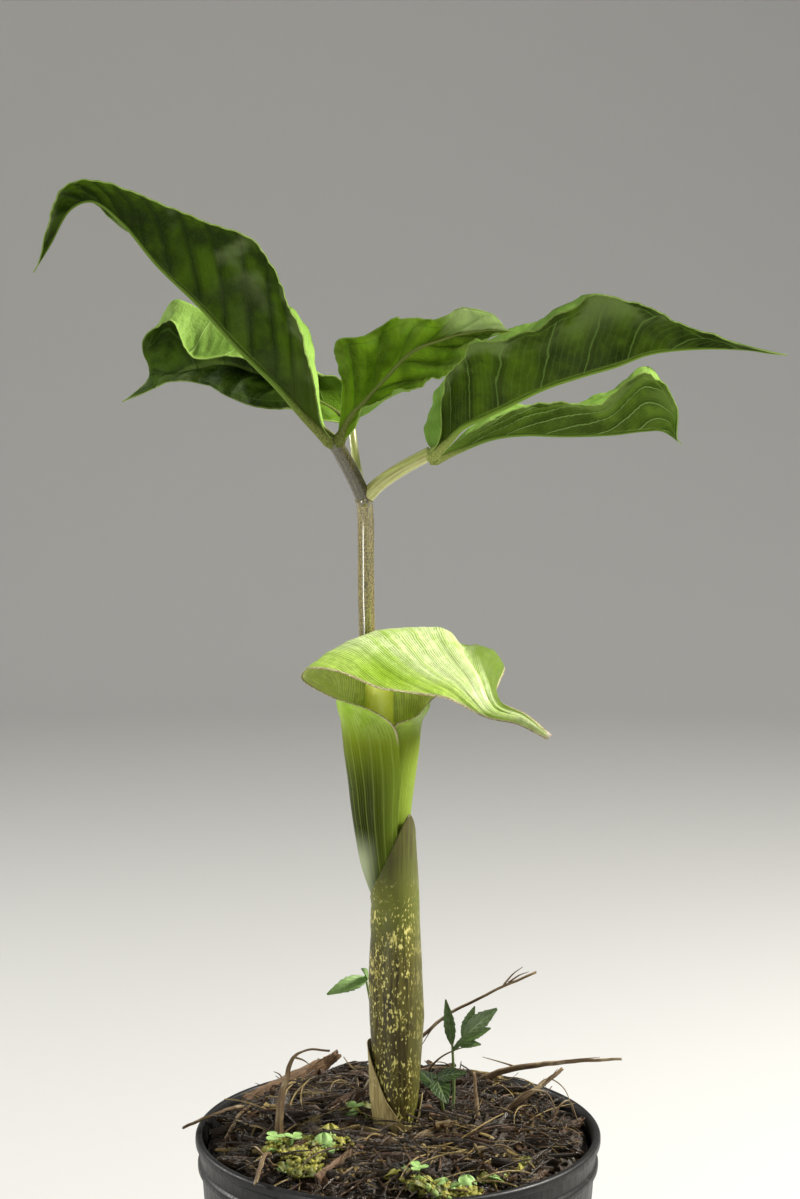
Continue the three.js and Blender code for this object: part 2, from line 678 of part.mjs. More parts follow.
const leaflets = [
  {
    name: 'leaflet_upper_left',
    midrib: [
      [-25.5, 10, 420.5], [-37, 7, 431], [-48, 4, 443], [-62, 0, 457], [-77, -4, 474],
      [-93, -8, 490], [-106, -12, 506], [-117, -15, 514], [-125, -17, 511], [-133, -20, 497],
      [-139, -22, 487],
    ],
    near: [
      [-25, 8, 423], [-32, -4, 442], [-41, -13, 473], [-54.5, -18, 498], [-70, -19, 505.5],
      [-88, -20, 512], [-106, -20, 520], [-119, -20, 521], [-128, -21, 517], [-134, -22, 502],
      [-139, -23, 487],
    ],
    far: [
      [-25, 12.5, 423], [-31.5, 20, 441], [-35, 28, 461], [-51, 30, 479], [-70, 27, 492],
      [-88, 20, 505], [-109, 8, 508], [-120, -4, 515], [-127, -10, 513], [-134, -17, 499],
      [-140, -20, 487],
    ],
    veins: 9,
    ripple: 1.0,
  },
  {
    name: 'leaflet_rear_left',
    midrib: [
      [-18.5, 31, 426], [-30, 36, 433], [-44, 42, 440], [-59, 49, 445], [-71, 56, 448],
      [-83, 63, 446], [-95, 70, 442], [-104, 75, 438], [-117, 82, 431],
    ],
    near: [
      [-19, 28.5, 427.5], [-29, 27, 427], [-43, 29, 431], [-58, 34, 432], [-68, 42, 435],
      [-80, 52, 440], [-94, 64, 440.5], [-103, 74, 437], [-117, 81, 430.5],
    ],
    crest: [
      [-17.5, 33, 427], [-26, 39.5, 438], [-42, 51, 455], [-64, 59, 467], [-80, 64, 474],
      [-93, 69, 474], [-102, 73, 451], [-104.7, 76, 440], [-116.8, 82.5, 431.2],
    ],
    far: [
      [-17, 33.8, 427.5], [-22.5, 39.5, 442], [-43, 36, 447], [-67, 40, 452], [-83, 45, 451],
      [-94, 57, 466], [-107, 70, 457], [-105.5, 77, 442], [-116.5, 83.5, 431.5],
    ],
    veins: 7,
    ripple: 0.9,
  },
  {
    name: 'leaflet_middle',
    midrib: [
      [-23, 8, 420.8], [-18, 0, 431], [-12, -7, 438], [-3, -14, 448], [6, -21, 457], [15, -28, 461],
      [24, -35, 464], [34, -42, 465.5], [43, -49, 465.5],
    ],
    near: [
      [-23.9, 7.4, 421.8], [-22, 6, 442], [-24, 3, 460], [-14, -2, 462], [0, -11, 470],
      [13, -24, 469], [26, -29, 473.5], [35, -36, 472], [43, -49, 467],
    ],
    far: [
      [-22, 7.2, 420.6], [-14, -14, 432], [-5, -24, 441], [5, -33, 447], [15, -38, 451],
      [21, -41, 458], [28, -44, 462], [36, -47, 464.5], [43, -50.5, 465.5],
    ],
    veins: 6,
    ripple: 0.8,
  },
  {
    name: 'leaflet_upper_right',
    midrib: [
      [13, 12, 415], [19, 8, 420], [25, 5, 426], [33, 2, 430], [43, -2, 435], [57, -6, 442],
      [71, -10, 447], [84, -14, 451], [97, -18, 456], [113, -22, 458], [130, -26, 458],
      [148, -30, 456],
    ],
    near: [
      [13, 9.5, 417.5], [16, 2, 431], [18, -7, 443], [21, -14, 456], [27, -18, 460], [44, -22, 462],
      [60, -25, 470], [76, -27, 478.5], [91, -28, 475], [108, -28, 467], [129, -29, 460.5],
      [148, -30, 457.5],
    ],
    far: [
      [14, 14.5, 417], [10.5, 23, 421], [15.5, 31, 436], [27, 35, 453], [42, 33, 461.5],
      [58, 29, 468], [74, 23, 477], [87, 12, 473], [100, 2, 467], [114, -8, 462], [130, -20, 459],
      [148, -29, 455.5],
    ],
    veins: 9,
    ripple: 0.9,
  },
  {
    name: 'leaflet_lower_right',
    midrib: [
      [14.5, 17, 412.5], [25, 22, 416], [38, 28, 420], [51, 34, 421], [69, 41, 420], [88, 48, 420],
      [102, 54, 421], [110, 58, 420.5], [118, 61, 415],
    ],
    near: [
      [15.5, 14.5, 415], [29, 15, 424], [43, 18, 430], [52, 21, 434], [65, 25, 435],
      [82, 29, 433.5], [100, 34, 446], [114, 47, 433], [119, 60, 416],
    ],
    far: [
      [16, 19.5, 414.5], [31, 34, 425], [45, 48, 431], [59, 58, 430], [76, 66, 431.5],
      [91, 72, 439], [106, 76, 449], [115, 71, 436], [118.5, 62.5, 416],
    ],
    veins: 6,
    ripple: 0.5,
  },
];

function leaflet(leaf, stalkBed) {
  const midrib = curveThrough(leaf.midrib);
  const near = curveThrough(leaf.near);
  const far = curveThrough(leaf.far);
  const crest = leaf.crest ? curveThrough(leaf.crest) : null;
  const leftward = leaf.midrib[1][0] < leaf.midrib[0][0];
  const pointAt = (u, v) => {
    const side = v * 2 - 1;
    const across = Math.abs(side);
    const root = midrib.getPoint(u);
    const edge = side < 0 ? near.getPoint(u) : far.getPoint(u);
    const other = side < 0 ? far.getPoint(u) : near.getPoint(u);
    const level = root.clone().add(edge.clone().sub(other).multiplyScalar(0.5));
    const opened = 1 - THREE.MathUtils.smoothstep(Math.min(u, 1 - u), 0, LEVEL_END);
    edge.lerp(level, opened);
    if (crest && side > 0) {
      const fold = crest.getPoint(u).lerp(root.clone().lerp(edge, 0.5), opened);
      return new THREE.CatmullRomCurve3([root, fold, edge], false, 'centripetal').getPoint(across);
    }
    const span = edge.clone().sub(root);
    const out = new THREE.Vector3().crossVectors(span, midrib.getTangent(u)).normalize();
    out.multiplyScalar(side < 0 ? -1 : 1);
    if (leftward) out.negate();
    const fade = THREE.MathUtils.smoothstep(Math.min(u, 1 - u), 0, 0.25);
    const camber = 0.09 * span.length() * Math.sin(Math.PI * across) * fade;
    const betweenVeins = Math.abs(Math.sin(Math.PI * (leaf.veins * u - 0.8 * across)));
    const swell = leaf.ripple * fade * Math.sin(Math.PI * across) * betweenVeins;
    return root.lerp(edge, across).addScaledVector(out, -(camber + swell));
  };
  const thicknessAt = (u, v) => {
    const across = Math.abs(v * 2 - 1);
    const height = 0.8 * (1 - 0.8 * u) + 1.3 * Math.exp(-u / 0.08);
    const rib = height * Math.exp(-((across / (0.1 + 0.5 * Math.exp(-u / 0.05))) ** 2));
    return { above: BLADE / 2, below: BLADE / 2 + rib };
  };
  const flipped = (u, v) => pointAt(u, 1 - v);
  const blade = sheet(leftward ? pointAt : flipped, thicknessAt, LEAF_ROWS, LEAF_COLUMNS);
  return largestBody(toSolid(blade).subtract(stalkBed));
}

// Spathe: one sheet. Its tube is rolled with its edges crossed in front, its hood bends over the mouth,
// and the hood runs out into a drooping tail on the right.

const SPATHE_ROWS = 26;
const SPATHE_COLUMNS = 16;
const SECTION_POINTS = 13;

const tubeSections = [
  { z: CUP_FLOOR + GAP, x: -3.0, y: -1.6, radius: 3.2, left: 0.5, right: 0.05 },
  { z: 229, x: -3.2, y: -1.6, radius: 3.5, left: 0.5, right: 0.05 },
  { z: 235, x: -3.8, y: -1.5, radius: 5.0, left: 0.5, right: 0.05 },
  { z: 242, x: -4.4, y: -1.4, radius: 7.0, left: 0.5, right: 0.05 },
  { z: 251, x: -4.9, y: -1.2, radius: 9.4, left: 0.5, right: 0.05 },
  { z: 262, x: -5.8, y: -0.8, radius: 10.6, left: 0.5, right: 0.05 },
  { z: 275, x: -6.3, y: -0.3, radius: 12.0, left: 0.5, right: 0.05 },
  { z: 285, x: -6.2, y: 0, radius: 13.2, left: 0.5, right: 0.05 },
  { z: 297, x: -6.2, y: 0, radius: 14.8, left: 0.45, right: 0.1 },
  { z: 309.5, x: -6.1, y: 0, radius: 16.2, left: 0.29, right: 0.29 },
];

// From the left edge round the back to the right edge.
const hoodSections = [
  [[-9, -18, 316], [-24, -2, 315], [-6, 17.5, 317], [12, 0, 315], [7, -18, 314]],
  [[-26, -13, 321], [-25, 5, 323], [-6, 19, 327], [12.5, 9, 324], [14, -10, 320]],
  [[-38, -6, 327], [-28, 9, 330], [-7, 21, 334], [16, 13, 330], [24, -3, 324]],
  [[-36, -12, 332], [-25, 4, 336], [-4, 19, 339], [20, 15, 335], [34, 7, 326]],
  [[-22, -21, 332], [-14, -5, 340], [6, 12, 343.5], [29, 14, 338], [40, 9, 331.5]],
  [[-7, -28, 327], [-1, -15, 338], [14, 1, 344.5], [32.5, 6, 338.8], [42.3, 3, 329.5]],
  [[7, -31, 325.5], [12, -23, 333], [22, -11, 339.8], [33, -6, 336], [39.8, -8, 325.8]],
  [[19, -31, 323.5], [24, -27, 328.5], [31, -21, 331], [35.6, -18, 328], [37.8, -18, 322.5]],
  [[34.5, -31.5, 316], [35.6, -31, 318.2], [37.3, -29.2, 319.6], [39.2, -26.8, 320.6], [40.5, -24, 320.5]],
  [[46, -32, 313.6], [47, -32, 315], [48, -31.7, 316], [49, -30.8, 316.8], [49.6, -29.5, 317.4]],
  [[57.6, -33.8, 308], [58, -33.6, 308.4], [58.5, -33.4, 308.8], [59, -33.1, 309.2], [59.6, -32.6, 309.6]],
];

function tubeRow(section) {
  const row = [];
  for (let i = 0; i < SECTION_POINTS; i += 1) {
    const w = (2 * i) / (SECTION_POINTS - 1) - 1;
    const turn = w < 0 ? w * (Math.PI + section.left) : w * (Math.PI - section.right);
    const radius = section.radius - 0.9 * w;
    row.push([section.x + radius * Math.sin(turn), section.y + radius * Math.cos(turn), section.z]);
  }
  return row;
}

function spathe() {
  const rows = tubeSections.map(tubeRow);
  hoodSections.forEach((points) => {
    const across = curveThrough(points);
    const row = [];
    for (let i = 0; i < SECTION_POINTS; i += 1) {
      row.push(across.getPoint(i / (SECTION_POINTS - 1)).toArray());
    }
    rows.push(row);
  });
  const columnCurves = [];
  for (let i = 0; i < SECTION_POINTS; i += 1) {
    columnCurves.push(curveThrough(rows.map((row) => row[i])));
  }
  const pointAt = (u, v) => {
    const row = columnCurves.map((curve) => curve.getPoint(u));
    return new THREE.CatmullRomCurve3(row, false, 'centripetal').getPoint(v);
  };
  return sheet(pointAt, () => ({ above: BLADE / 2, below: BLADE / 2 }), SPATHE_ROWS, SPATHE_COLUMNS);
}

// Spadix: a column of flowers low in the tube, a narrow neck and a pale club.

const spadixRoute = [
  [-3, -1.6, CUP_FLOOR + GAP], [-3.6, -1.5, 236], [-5, -1.2, 255], [-6.6, -1, 290],
  [-7.4, -1.4, 320], [-7, -1.5, 333],
];

function spadixRadius(t) {
  const rise = THREE.MathUtils.smoothstep(t, 0.22, 0.32);
  const neck = 1 - THREE.MathUtils.smoothstep(t, 0.44, 0.5);
  const club = THREE.MathUtils.smoothstep(t, 0.5, 0.7);
  const tip = t > 0.93 ? Math.sqrt(Math.max(0.05, 1 - ((t - 0.93) / 0.075) ** 2)) : 1;
  return (1.5 + 3.4 * rise * neck + 4.1 * club) * tip;
}

function spadix() {
  return stalk(spadixRoute, spadixRadius, { steps: 18, sides: 10 });
}

// Assembly

const plant = new THREE.Group();

function addNode(name, shape, finish) {
  const geometry = shape.isBufferGeometry ? shape : toGeometry(shape);
  const mesh = new THREE.Mesh(geometry, finish);
  mesh.name = name;
  plant.add(mesh);
}

const foot = footBed();
const beds = [
  foot,
  ...dryPieces.map((piece) => toSolid(dryPiece(piece, GAP))),
  ...mossPatches.map((patch) => mossPatch(patch, GAP)),
  ...Object.keys(weedStems).map((name) => toSolid(weedStalk(name, GAP))),
];

addNode('pot', pot(), BLACK_PLASTIC);
addNode('soil', soil(foot), SOIL);
addNode('bark_mulch', mulch(beds), BARK);
dryPieces.forEach((piece) => addNode(piece.name, dryPiece(piece), piece.finish));
mossPatches.forEach((patch) => addNode(patch.name, mossPatch(patch), MOSS));
Object.keys(weedStems).forEach((name) => addNode(name, weed(name), WEED));
addNode('basal_sheath', basalSheath(), PAPERY);
addNode('pseudostem', pseudostem(), MOTTLED);
addNode('petiole', petiole(), PETIOLE);
const stalkBed = petiole(GAP);
leaflets.forEach((leaf) => addNode(leaf.name, leaflet(leaf, stalkBed), LEAF));
addNode('spathe', spathe(), SPATHE);
addNode('spadix', spadix(), SPADIX);

export default plant;
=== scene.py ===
import math

import bpy
import numpy as np
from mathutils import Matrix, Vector


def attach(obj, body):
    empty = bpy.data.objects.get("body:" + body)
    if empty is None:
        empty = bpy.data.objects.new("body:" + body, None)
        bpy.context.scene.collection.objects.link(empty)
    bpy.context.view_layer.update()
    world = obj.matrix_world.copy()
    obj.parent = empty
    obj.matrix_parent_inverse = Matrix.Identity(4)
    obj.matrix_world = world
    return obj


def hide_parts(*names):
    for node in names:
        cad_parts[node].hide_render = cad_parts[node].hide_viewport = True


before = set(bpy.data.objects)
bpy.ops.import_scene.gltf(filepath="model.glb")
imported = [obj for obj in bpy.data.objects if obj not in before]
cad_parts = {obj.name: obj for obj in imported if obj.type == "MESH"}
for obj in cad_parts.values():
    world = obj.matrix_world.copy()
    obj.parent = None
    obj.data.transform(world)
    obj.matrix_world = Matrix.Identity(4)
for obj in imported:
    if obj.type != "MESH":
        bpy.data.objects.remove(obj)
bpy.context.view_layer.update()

# A flowering aroid in a black nursery pot. Sizes are in millimetres here and turn into metres in add_piece.
# The origin is the centre of the pot's underside, +Z is up and the flower faces -Y.

MM = 0.001

# Driving dimensions

POT_HEIGHT = 140.0
POT_RIM_RADIUS = 82.5
POT_BASE_RADIUS = 59.0
DRAIN_HOLES = 6
DRAIN_HOLE_RADIUS = 5.0
DRAIN_RING_RADIUS = 38.0

MULCH_RADIUS = 77.6
MULCH_EDGE_TOP = 133.0
MULCH_MOUND = 8.5

LEAF_THICKNESS = 0.45
SPATHE_THICKNESS = 0.55

WAVE_OCTAVES = 4

# The upper limit of random angles, a full turn
ANY_TURN = 6.28
UP = np.array([0.0, 0.0, 1.0])


# Numbers and curves

def smoothstep(low, high, value):
    t = np.clip((np.asarray(value, float) - low) / (high - low), 0.0, 1.0)
    return t * t * (3.0 - 2.0 * t)


def mix(a, b, t):
    return a + (b - a) * t


def evenly(count, start=0.0, end=1.0):
    """Numbers spread evenly from start to end."""
    return np.linspace(start, end, count)


def full_turn(count):
    """Angles evenly round a circle."""
    return np.linspace(0.0, 2.0 * np.pi, count, endpoint=False)


def curve(points, t):
    """Places on a smooth curve through points, or on many such curves side by side, at each t from 0 to 1."""
    points = np.asarray(points, float)
    ends = np.concatenate([[2 * points[0] - points[1]], points, [2 * points[-1] - points[-2]]])
    place = np.clip(np.asarray(t, float), 0.0, 1.0) * (len(points) - 1)
    low = np.minimum(place.astype(int), len(points) - 2)
    w = (place - low).reshape(low.shape + (1,) * (points.ndim - 1))
    p0, p1, p2, p3 = (ends[low + k] for k in range(4))
    d0, d1, d2 = (np.sqrt(np.linalg.norm(b - a, axis=-1, keepdims=True)) + 1e-9
                  for a, b in ((p0, p1), (p1, p2), (p2, p3)))
    m1 = ((p1 - p0) / d0 - (p2 - p0) / (d0 + d1) + (p2 - p1) / d1) * d1
    m2 = ((p2 - p1) / d1 - (p3 - p1) / (d1 + d2) + (p3 - p2) / d2) * d1
    w2 = w * w
    w3 = w2 * w
    return ((2 * w3 - 3 * w2 + 1) * p1 + (w3 - 2 * w2 + w) * m1
            + (3 * w2 - 2 * w3) * p2 + (w3 - w2) * m2)


def unit(vectors):
    vectors = np.asarray(vectors, float)
    return vectors / np.maximum(np.linalg.norm(vectors, axis=-1, keepdims=True), 1e-9)


def rounded(place, least):
    """How wide a round shape is from -1 to 1 along it, never less than the root of least."""
    return np.sqrt(np.maximum(least, 1.0 - place ** 2))


def level_turn(yaw):
    """The level directions ahead and to the left of a heading."""
    ahead = np.array([math.cos(yaw), math.sin(yaw), 0.0])
    return ahead, np.cross(UP, ahead)


def waves(points, scale, seed):
    """Smooth irregular waves between -1 and 1 in space, from a few seeded sines."""
    rng = np.random.default_rng(seed)
    total = np.zeros(np.shape(points)[:-1])
    for octave in range(WAVE_OCTAVES):
        direction = unit(rng.normal(size=3))
        total += np.sin(points @ direction * scale * (1.0 + 0.6 * octave) + rng.uniform(0.0, ANY_TURN))
    return total / WAVE_OCTAVES


# Meshes

def new_mesh(name, points, faces):
    mesh = bpy.data.meshes.new(name)
    mesh.from_pydata(np.asarray(points).reshape(-1, 3).tolist(), [], [tuple(face) for face in faces])
    return mesh


def link(name, data):
    """A new object in the scene."""
    thing = bpy.data.objects.new(name, data)
    bpy.context.scene.collection.objects.link(thing)
    return thing


def add_piece(name, points, faces, finish, nodes=(), smooth=True, marks=None):
    """A mesh piece in metres. marks holds named numbers, one row for each point, that its finish reads."""
    mesh = new_mesh(name, np.asarray(points) * MM, faces)
    for key, values in (marks or {}).items():
        values = np.asarray(values, np.float32)
        if values.ndim == 2:
            mesh.attributes.new(key, "FLOAT_VECTOR", "POINT").data.foreach_set("vector", values.ravel())
        else:
            mesh.attributes.new(key, "FLOAT", "POINT").data.foreach_set("value", values)
    mesh.validate()
    if smooth:
        mesh.shade_smooth()
    piece = link(name, mesh)
    mesh.materials.append(finish)
    if nodes:
        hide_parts(*nodes)
    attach(piece, "root")
    return piece


class Batch:
    """Many small shapes gathered into one mesh, with the marks that their finish reads."""

    def __init__(self):
        self.points = []
        self.faces = []
        self.marks = {}
        self.count = 0

    def add(self, points, faces, **marks):
        points = np.asarray(points, float).reshape(-1, 3)
        self.faces.extend([index + self.count for index in face] for face in faces)
        self.points.append(points)
        self.count += len(points)
        for name, value in marks.items():
            value = np.asarray(value, float)
            value = np.full(len(points), value) if value.ndim == 0 else value
            self.marks.setdefault(name, []).append(value)

    def piece(self, name, finish, nodes=(), slot=None, smooth=True):
        marks = {key: np.concatenate(values) for key, values in self.marks.items()}
        return add_piece(name, np.concatenate(self.points), self.faces, finish, nodes, smooth, marks)


def grid_faces(rows, columns, around=False):
    """Quads of a grid of points. around joins the last column to the first."""
    wide = columns if around else columns - 1
    row, column = np.meshgrid(np.arange(rows - 1), np.arange(wide), indexing="ij")
    after = (column + 1) % columns
    quads = np.stack([row * columns + column, row * columns + after,
                      (row + 1) * columns + after, (row + 1) * columns + column], axis=-1)
    return quads.reshape(-1, 4)


def closed_rings(levels, sides):
    """Faces of rings joined one to the next, with a lid on the first and on the last."""
    faces = grid_faces(levels, sides, around=True).tolist()
    return faces + [list(range(sides))[::-1], list(range((levels - 1) * sides, levels * sides))]


def revolved(outline, sides):
    """Rings of points from radii and heights, turned round the pot's axis."""
    angle = full_turn(sides)
    radius = outline[:, :1]
    height = np.repeat(outline[:, 1:], sides, axis=1)
    return np.stack([radius * np.cos(angle), radius * np.sin(angle), height], axis=-1)


def distance_across(grid):
    """How far each point lies from the first point of its row, along the row."""
    steps = np.linalg.norm(np.diff(grid, axis=1), axis=2)
    return np.concatenate([np.zeros((len(grid), 1)), np.cumsum(steps, axis=1)], axis=1)


def grid_normals(points):
    """Unit normals of a grid of points."""
    along = np.gradient(points, axis=0)
    across = np.gradient(points, axis=1)
    return unit(np.cross(along, across))


def thin_sheet(middle, above, below):
    """A closed thin sheet round a grid of middle points. Returns its points and faces."""
    rows, columns = middle.shape[:2]
    normals = grid_normals(middle)
    front = middle + normals * np.asarray(above)[..., None]
    back = middle - normals * np.asarray(below)[..., None]
    faces = grid_faces(rows, columns)
    count = rows * columns
    border = np.concatenate([
        np.arange(rows) * columns,
        (rows - 1) * columns + np.arange(1, columns),
        (rows - 1 - np.arange(1, rows)) * columns + columns - 1,
        columns - 1 - np.arange(1, columns - 1),
    ])
    after = np.roll(border, -1)
    rim = np.stack([after, border, border + count, after + count], axis=-1)
    points = np.concatenate([front.reshape(-1, 3), back.reshape(-1, 3)])
    return points, np.concatenate([faces, faces[:, ::-1] + count, rim])


def flat_blade(base, along, across, u, v, half):
    """Points of a flat blade: u from 0 to 1 along it, v from -1 to 1 across it, half as wide as half says."""
    return base + along * u[:, None, None] + across * (half[:, None] * v)[..., None]


def tube_frames(route):
    """Two unit directions across a route at each of its points, turning as little as they can."""
    along = unit(np.gradient(route, axis=0))
    across = np.empty_like(route)
    start = np.cross(along[0], (0.31, -0.95, 0.05))
    across[0] = unit(start)
    for i in range(1, len(route)):
        side = across[i - 1] - along[i] * (across[i - 1] @ along[i])
        across[i] = unit(side)
    return along, across, np.cross(along, across)


def tube(route, radius, sides=16, flat=1.0, relief=None, jag=0.0, rng=None):
    """A closed stalk along a route, with its points, faces and grain.

    relief adds to the radius by distance along and angle. jag tears both ends by that many millimetres.
    grain is a place in the stalk when it is straight: two numbers across and one along.
    """
    route = np.asarray(route, float)
    rows = len(route)
    radius = np.broadcast_to(np.asarray(radius, float), (rows,))
    angle = full_turn(sides)
    run = evenly(rows)
    along, across, over = tube_frames(route)
    reach = np.repeat(radius[:, None], sides, axis=1)
    if relief is not None:
        reach = reach + relief(run[:, None], angle[None, :])
    ring = (across[:, None] * (np.cos(angle)[None, :, None])
            + over[:, None] * (np.sin(angle)[None, :, None] * flat))
    points = route[:, None] + ring * reach[..., None]
    if jag:
        points[0] -= along[0] * rng.uniform(0, jag, (sides, 1))
        points[-1] += along[-1] * rng.uniform(0, jag, (sides, 1))
    length = np.linalg.norm(np.diff(route, axis=0), axis=1).sum()
    far = np.repeat(run[:, None], sides, axis=1) * length
    grain = np.dstack([reach * np.cos(angle), reach * np.sin(angle), far])
    return points.reshape(-1, 3), closed_rings(rows, sides), grain.reshape(-1, 3)


def add_tube(batch, route, radius, sides=16, flat=1.0, relief=None, jag=0.0, rng=None, **marks):
    points, faces, grain = tube(route, radius, sides, flat, relief, jag, rng)
    batch.add(points, faces, grain=grain, **marks)


# Finishes: node trees built by short calls

class Finish:
    """A material in the making. Each call adds a node and gives back one of its outputs."""

    def __init__(self, name):
        self.material = bpy.data.materials.new(name)
        self.material.use_nodes = True
        self.nodes = self.material.node_tree.nodes
        self.links = self.material.node_tree.links
        self.nodes.clear()

    def node(self, kind, inputs, output=0, **settings):
        node = self.nodes.new(kind)
        for key, value in settings.items():
            setattr(node, key, value)
        for key, value in inputs.items():
            socket = node.inputs[key]
            if isinstance(value, bpy.types.NodeSocket):
                self.links.new(value, socket)
            elif socket.type == "RGBA":
                socket.default_value = (*value[:3], 1.0)
            else:
                socket.default_value = value
        return node.outputs[output]

    def scaled(self, vector, across, along):
        factors = (across, across, along)
        return self.node("ShaderNodeVectorMath", {0: vector, 1: factors}, operation="MULTIPLY")

    def place(self, along=1.0, across=1.0):
        """The place on the part in millimetres, scaled up the plant and across it."""
        here = self.node("ShaderNodeTexCoord", {}, "Object")
        return self.scaled(here, across / MM, along / MM)

    def mark(self, name, output="Fac"):
        return self.node("ShaderNodeAttribute", {}, output, attribute_type="GEOMETRY", attribute_name=name)

    def grain(self, along):
        """The place in a stalk or chip when it is straight, scaled along it."""
        return self.scaled(self.mark("grain", "Vector"), 1.0, along)

    def parts(self, vector):
        node = self.nodes.new("ShaderNodeSeparateXYZ")
        self.links.new(vector, node.inputs[0])
        return node.outputs[0], node.outputs[1], node.outputs[2]

    def join(self, x, y, z=0.0):
        return self.node("ShaderNodeCombineXYZ", {0: x, 1: y, 2: z})

    def noise(self, vector, scale, detail=3.0, roughness=0.55):
        inputs = {"Vector": vector, "Scale": scale, "Detail": detail, "Roughness": roughness}
        return self.node("ShaderNodeTexNoise", inputs, "Fac")

    def cells(self, vector, scale, feature="F1", output="Distance"):
        return self.node("ShaderNodeTexVoronoi", {"Vector": vector, "Scale": scale}, output, feature=feature)

    def math(self, operation, a, b=0.0):
        return self.node("ShaderNodeMath", {0: a, 1: b}, operation=operation)

    def times(self, value, *others):
        for other in others:
            value = self.math("MULTIPLY", value, other)
        return value

    def plus(self, a, b):
        return self.math("ADD", a, b)

    def minus(self, a, b):
        return self.math("SUBTRACT", a, b)

    def most(self, a, b):
        return self.math("MAXIMUM", a, b)

    def from_whole(self, value):
        """How far a value lies from the nearest whole number."""
        return self.math("PINGPONG", value, 0.5)

    def step(self, value, low, high, out_low=0.0, out_high=1.0):
        """A smooth change from out_low to out_high as the value goes from low to high."""
        inputs = {"Value": value, "From Min": low, "From Max": high, "To Min": out_low, "To Max": out_high}
        return self.node("ShaderNodeMapRange", inputs, interpolation_type="SMOOTHSTEP")

    def blend(self, amount, a, b):
        return self.node("ShaderNodeMix", {0: amount, 6: a, 7: b}, 2, data_type="RGBA")

    def cover(self, under, over, *amounts):
        """One colour laid over another by the product of the amounts."""
        return self.blend(self.times(*amounts), under, over)

    def tone(self, value, dark, light, low=0.35, high=0.65):
        """A colour that goes from dark to light as the value goes from low to high."""
        return self.blend(self.step(value, low, high), dark, light)

    def bump(self, height, depth, strength=1.0):
        """Relief of a height from 0 to 1, depth millimetres deep."""
        inputs = {"Height": height, "Distance": depth * MM, "Strength": strength}
        return self.node("ShaderNodeBump", inputs)

    def surface(self, colour, roughness, normal=None, **settings):
        inputs = {"Base Color": colour, "Roughness": roughness}
        inputs.update({key.replace("_", " "): value for key, value in settings.items()})
        if normal is not None:
            inputs["Normal"] = normal
        return self.node("ShaderNodeBsdfPrincipled", inputs)

    def glow_through(self, surface, colour, amount):
        """Lets part of the light through a thin leaf."""
        through = self.node("ShaderNodeBsdfTranslucent", {"Color": colour})
        return self.node("ShaderNodeMixShader", {0: amount, 1: surface, 2: through})

    def done(self, shader):
        output = self.nodes.new("ShaderNodeOutputMaterial")
        self.links.new(shader, output.inputs["Surface"])
        return self.material


# Leaflets. A leaflet has three lines from base to tip: its midrib, the edge seen from the front (near) and
# the far edge. A crest is the line where a half folds over. The undersides face outward.

LEVEL_END = 0.12
LEAF_ROWS = 200
LEAF_COLUMNS = 49
PILLOW = 2.4
COLLECTING_VEIN = 3.6
FINE_VEINS = 6.0
RIB_SIDES = 16
LEAF_SEED = 100
CAMBER = 0.09
VEIN_HEIGHT = 0.22
VEIN_WIDTH = 0.05

# Colours that leaflets share: dark and light of the stalk and of the upper face, whose green is painted
# lighter as if lit from above, the veins on it, the painted light on the part that is turned up to the light,
# and the painted rim light along the edge
LEFT_STEM = ((0.13, 0.155, 0.030), (0.23, 0.26, 0.065))
RIGHT_STEM = ((0.27, 0.32, 0.080), (0.42, 0.47, 0.135))
# The upper face: its own green, painted lighter as if lit from above
UPPER_FACE = ((0.19, 0.35, 0.045), (0.32, 0.52, 0.10))
UPPER_VEIN = (0.44, 0.62, 0.20)
# Painted light: the pale lime of a part turned up to the light
PAINTED_LIT_TIP = (0.76, 0.92, 0.38)
# Painted rim light: a pale band along the leaflets' edges
PAINTED_RIM_LIGHT = (0.36, 0.50, 0.12)
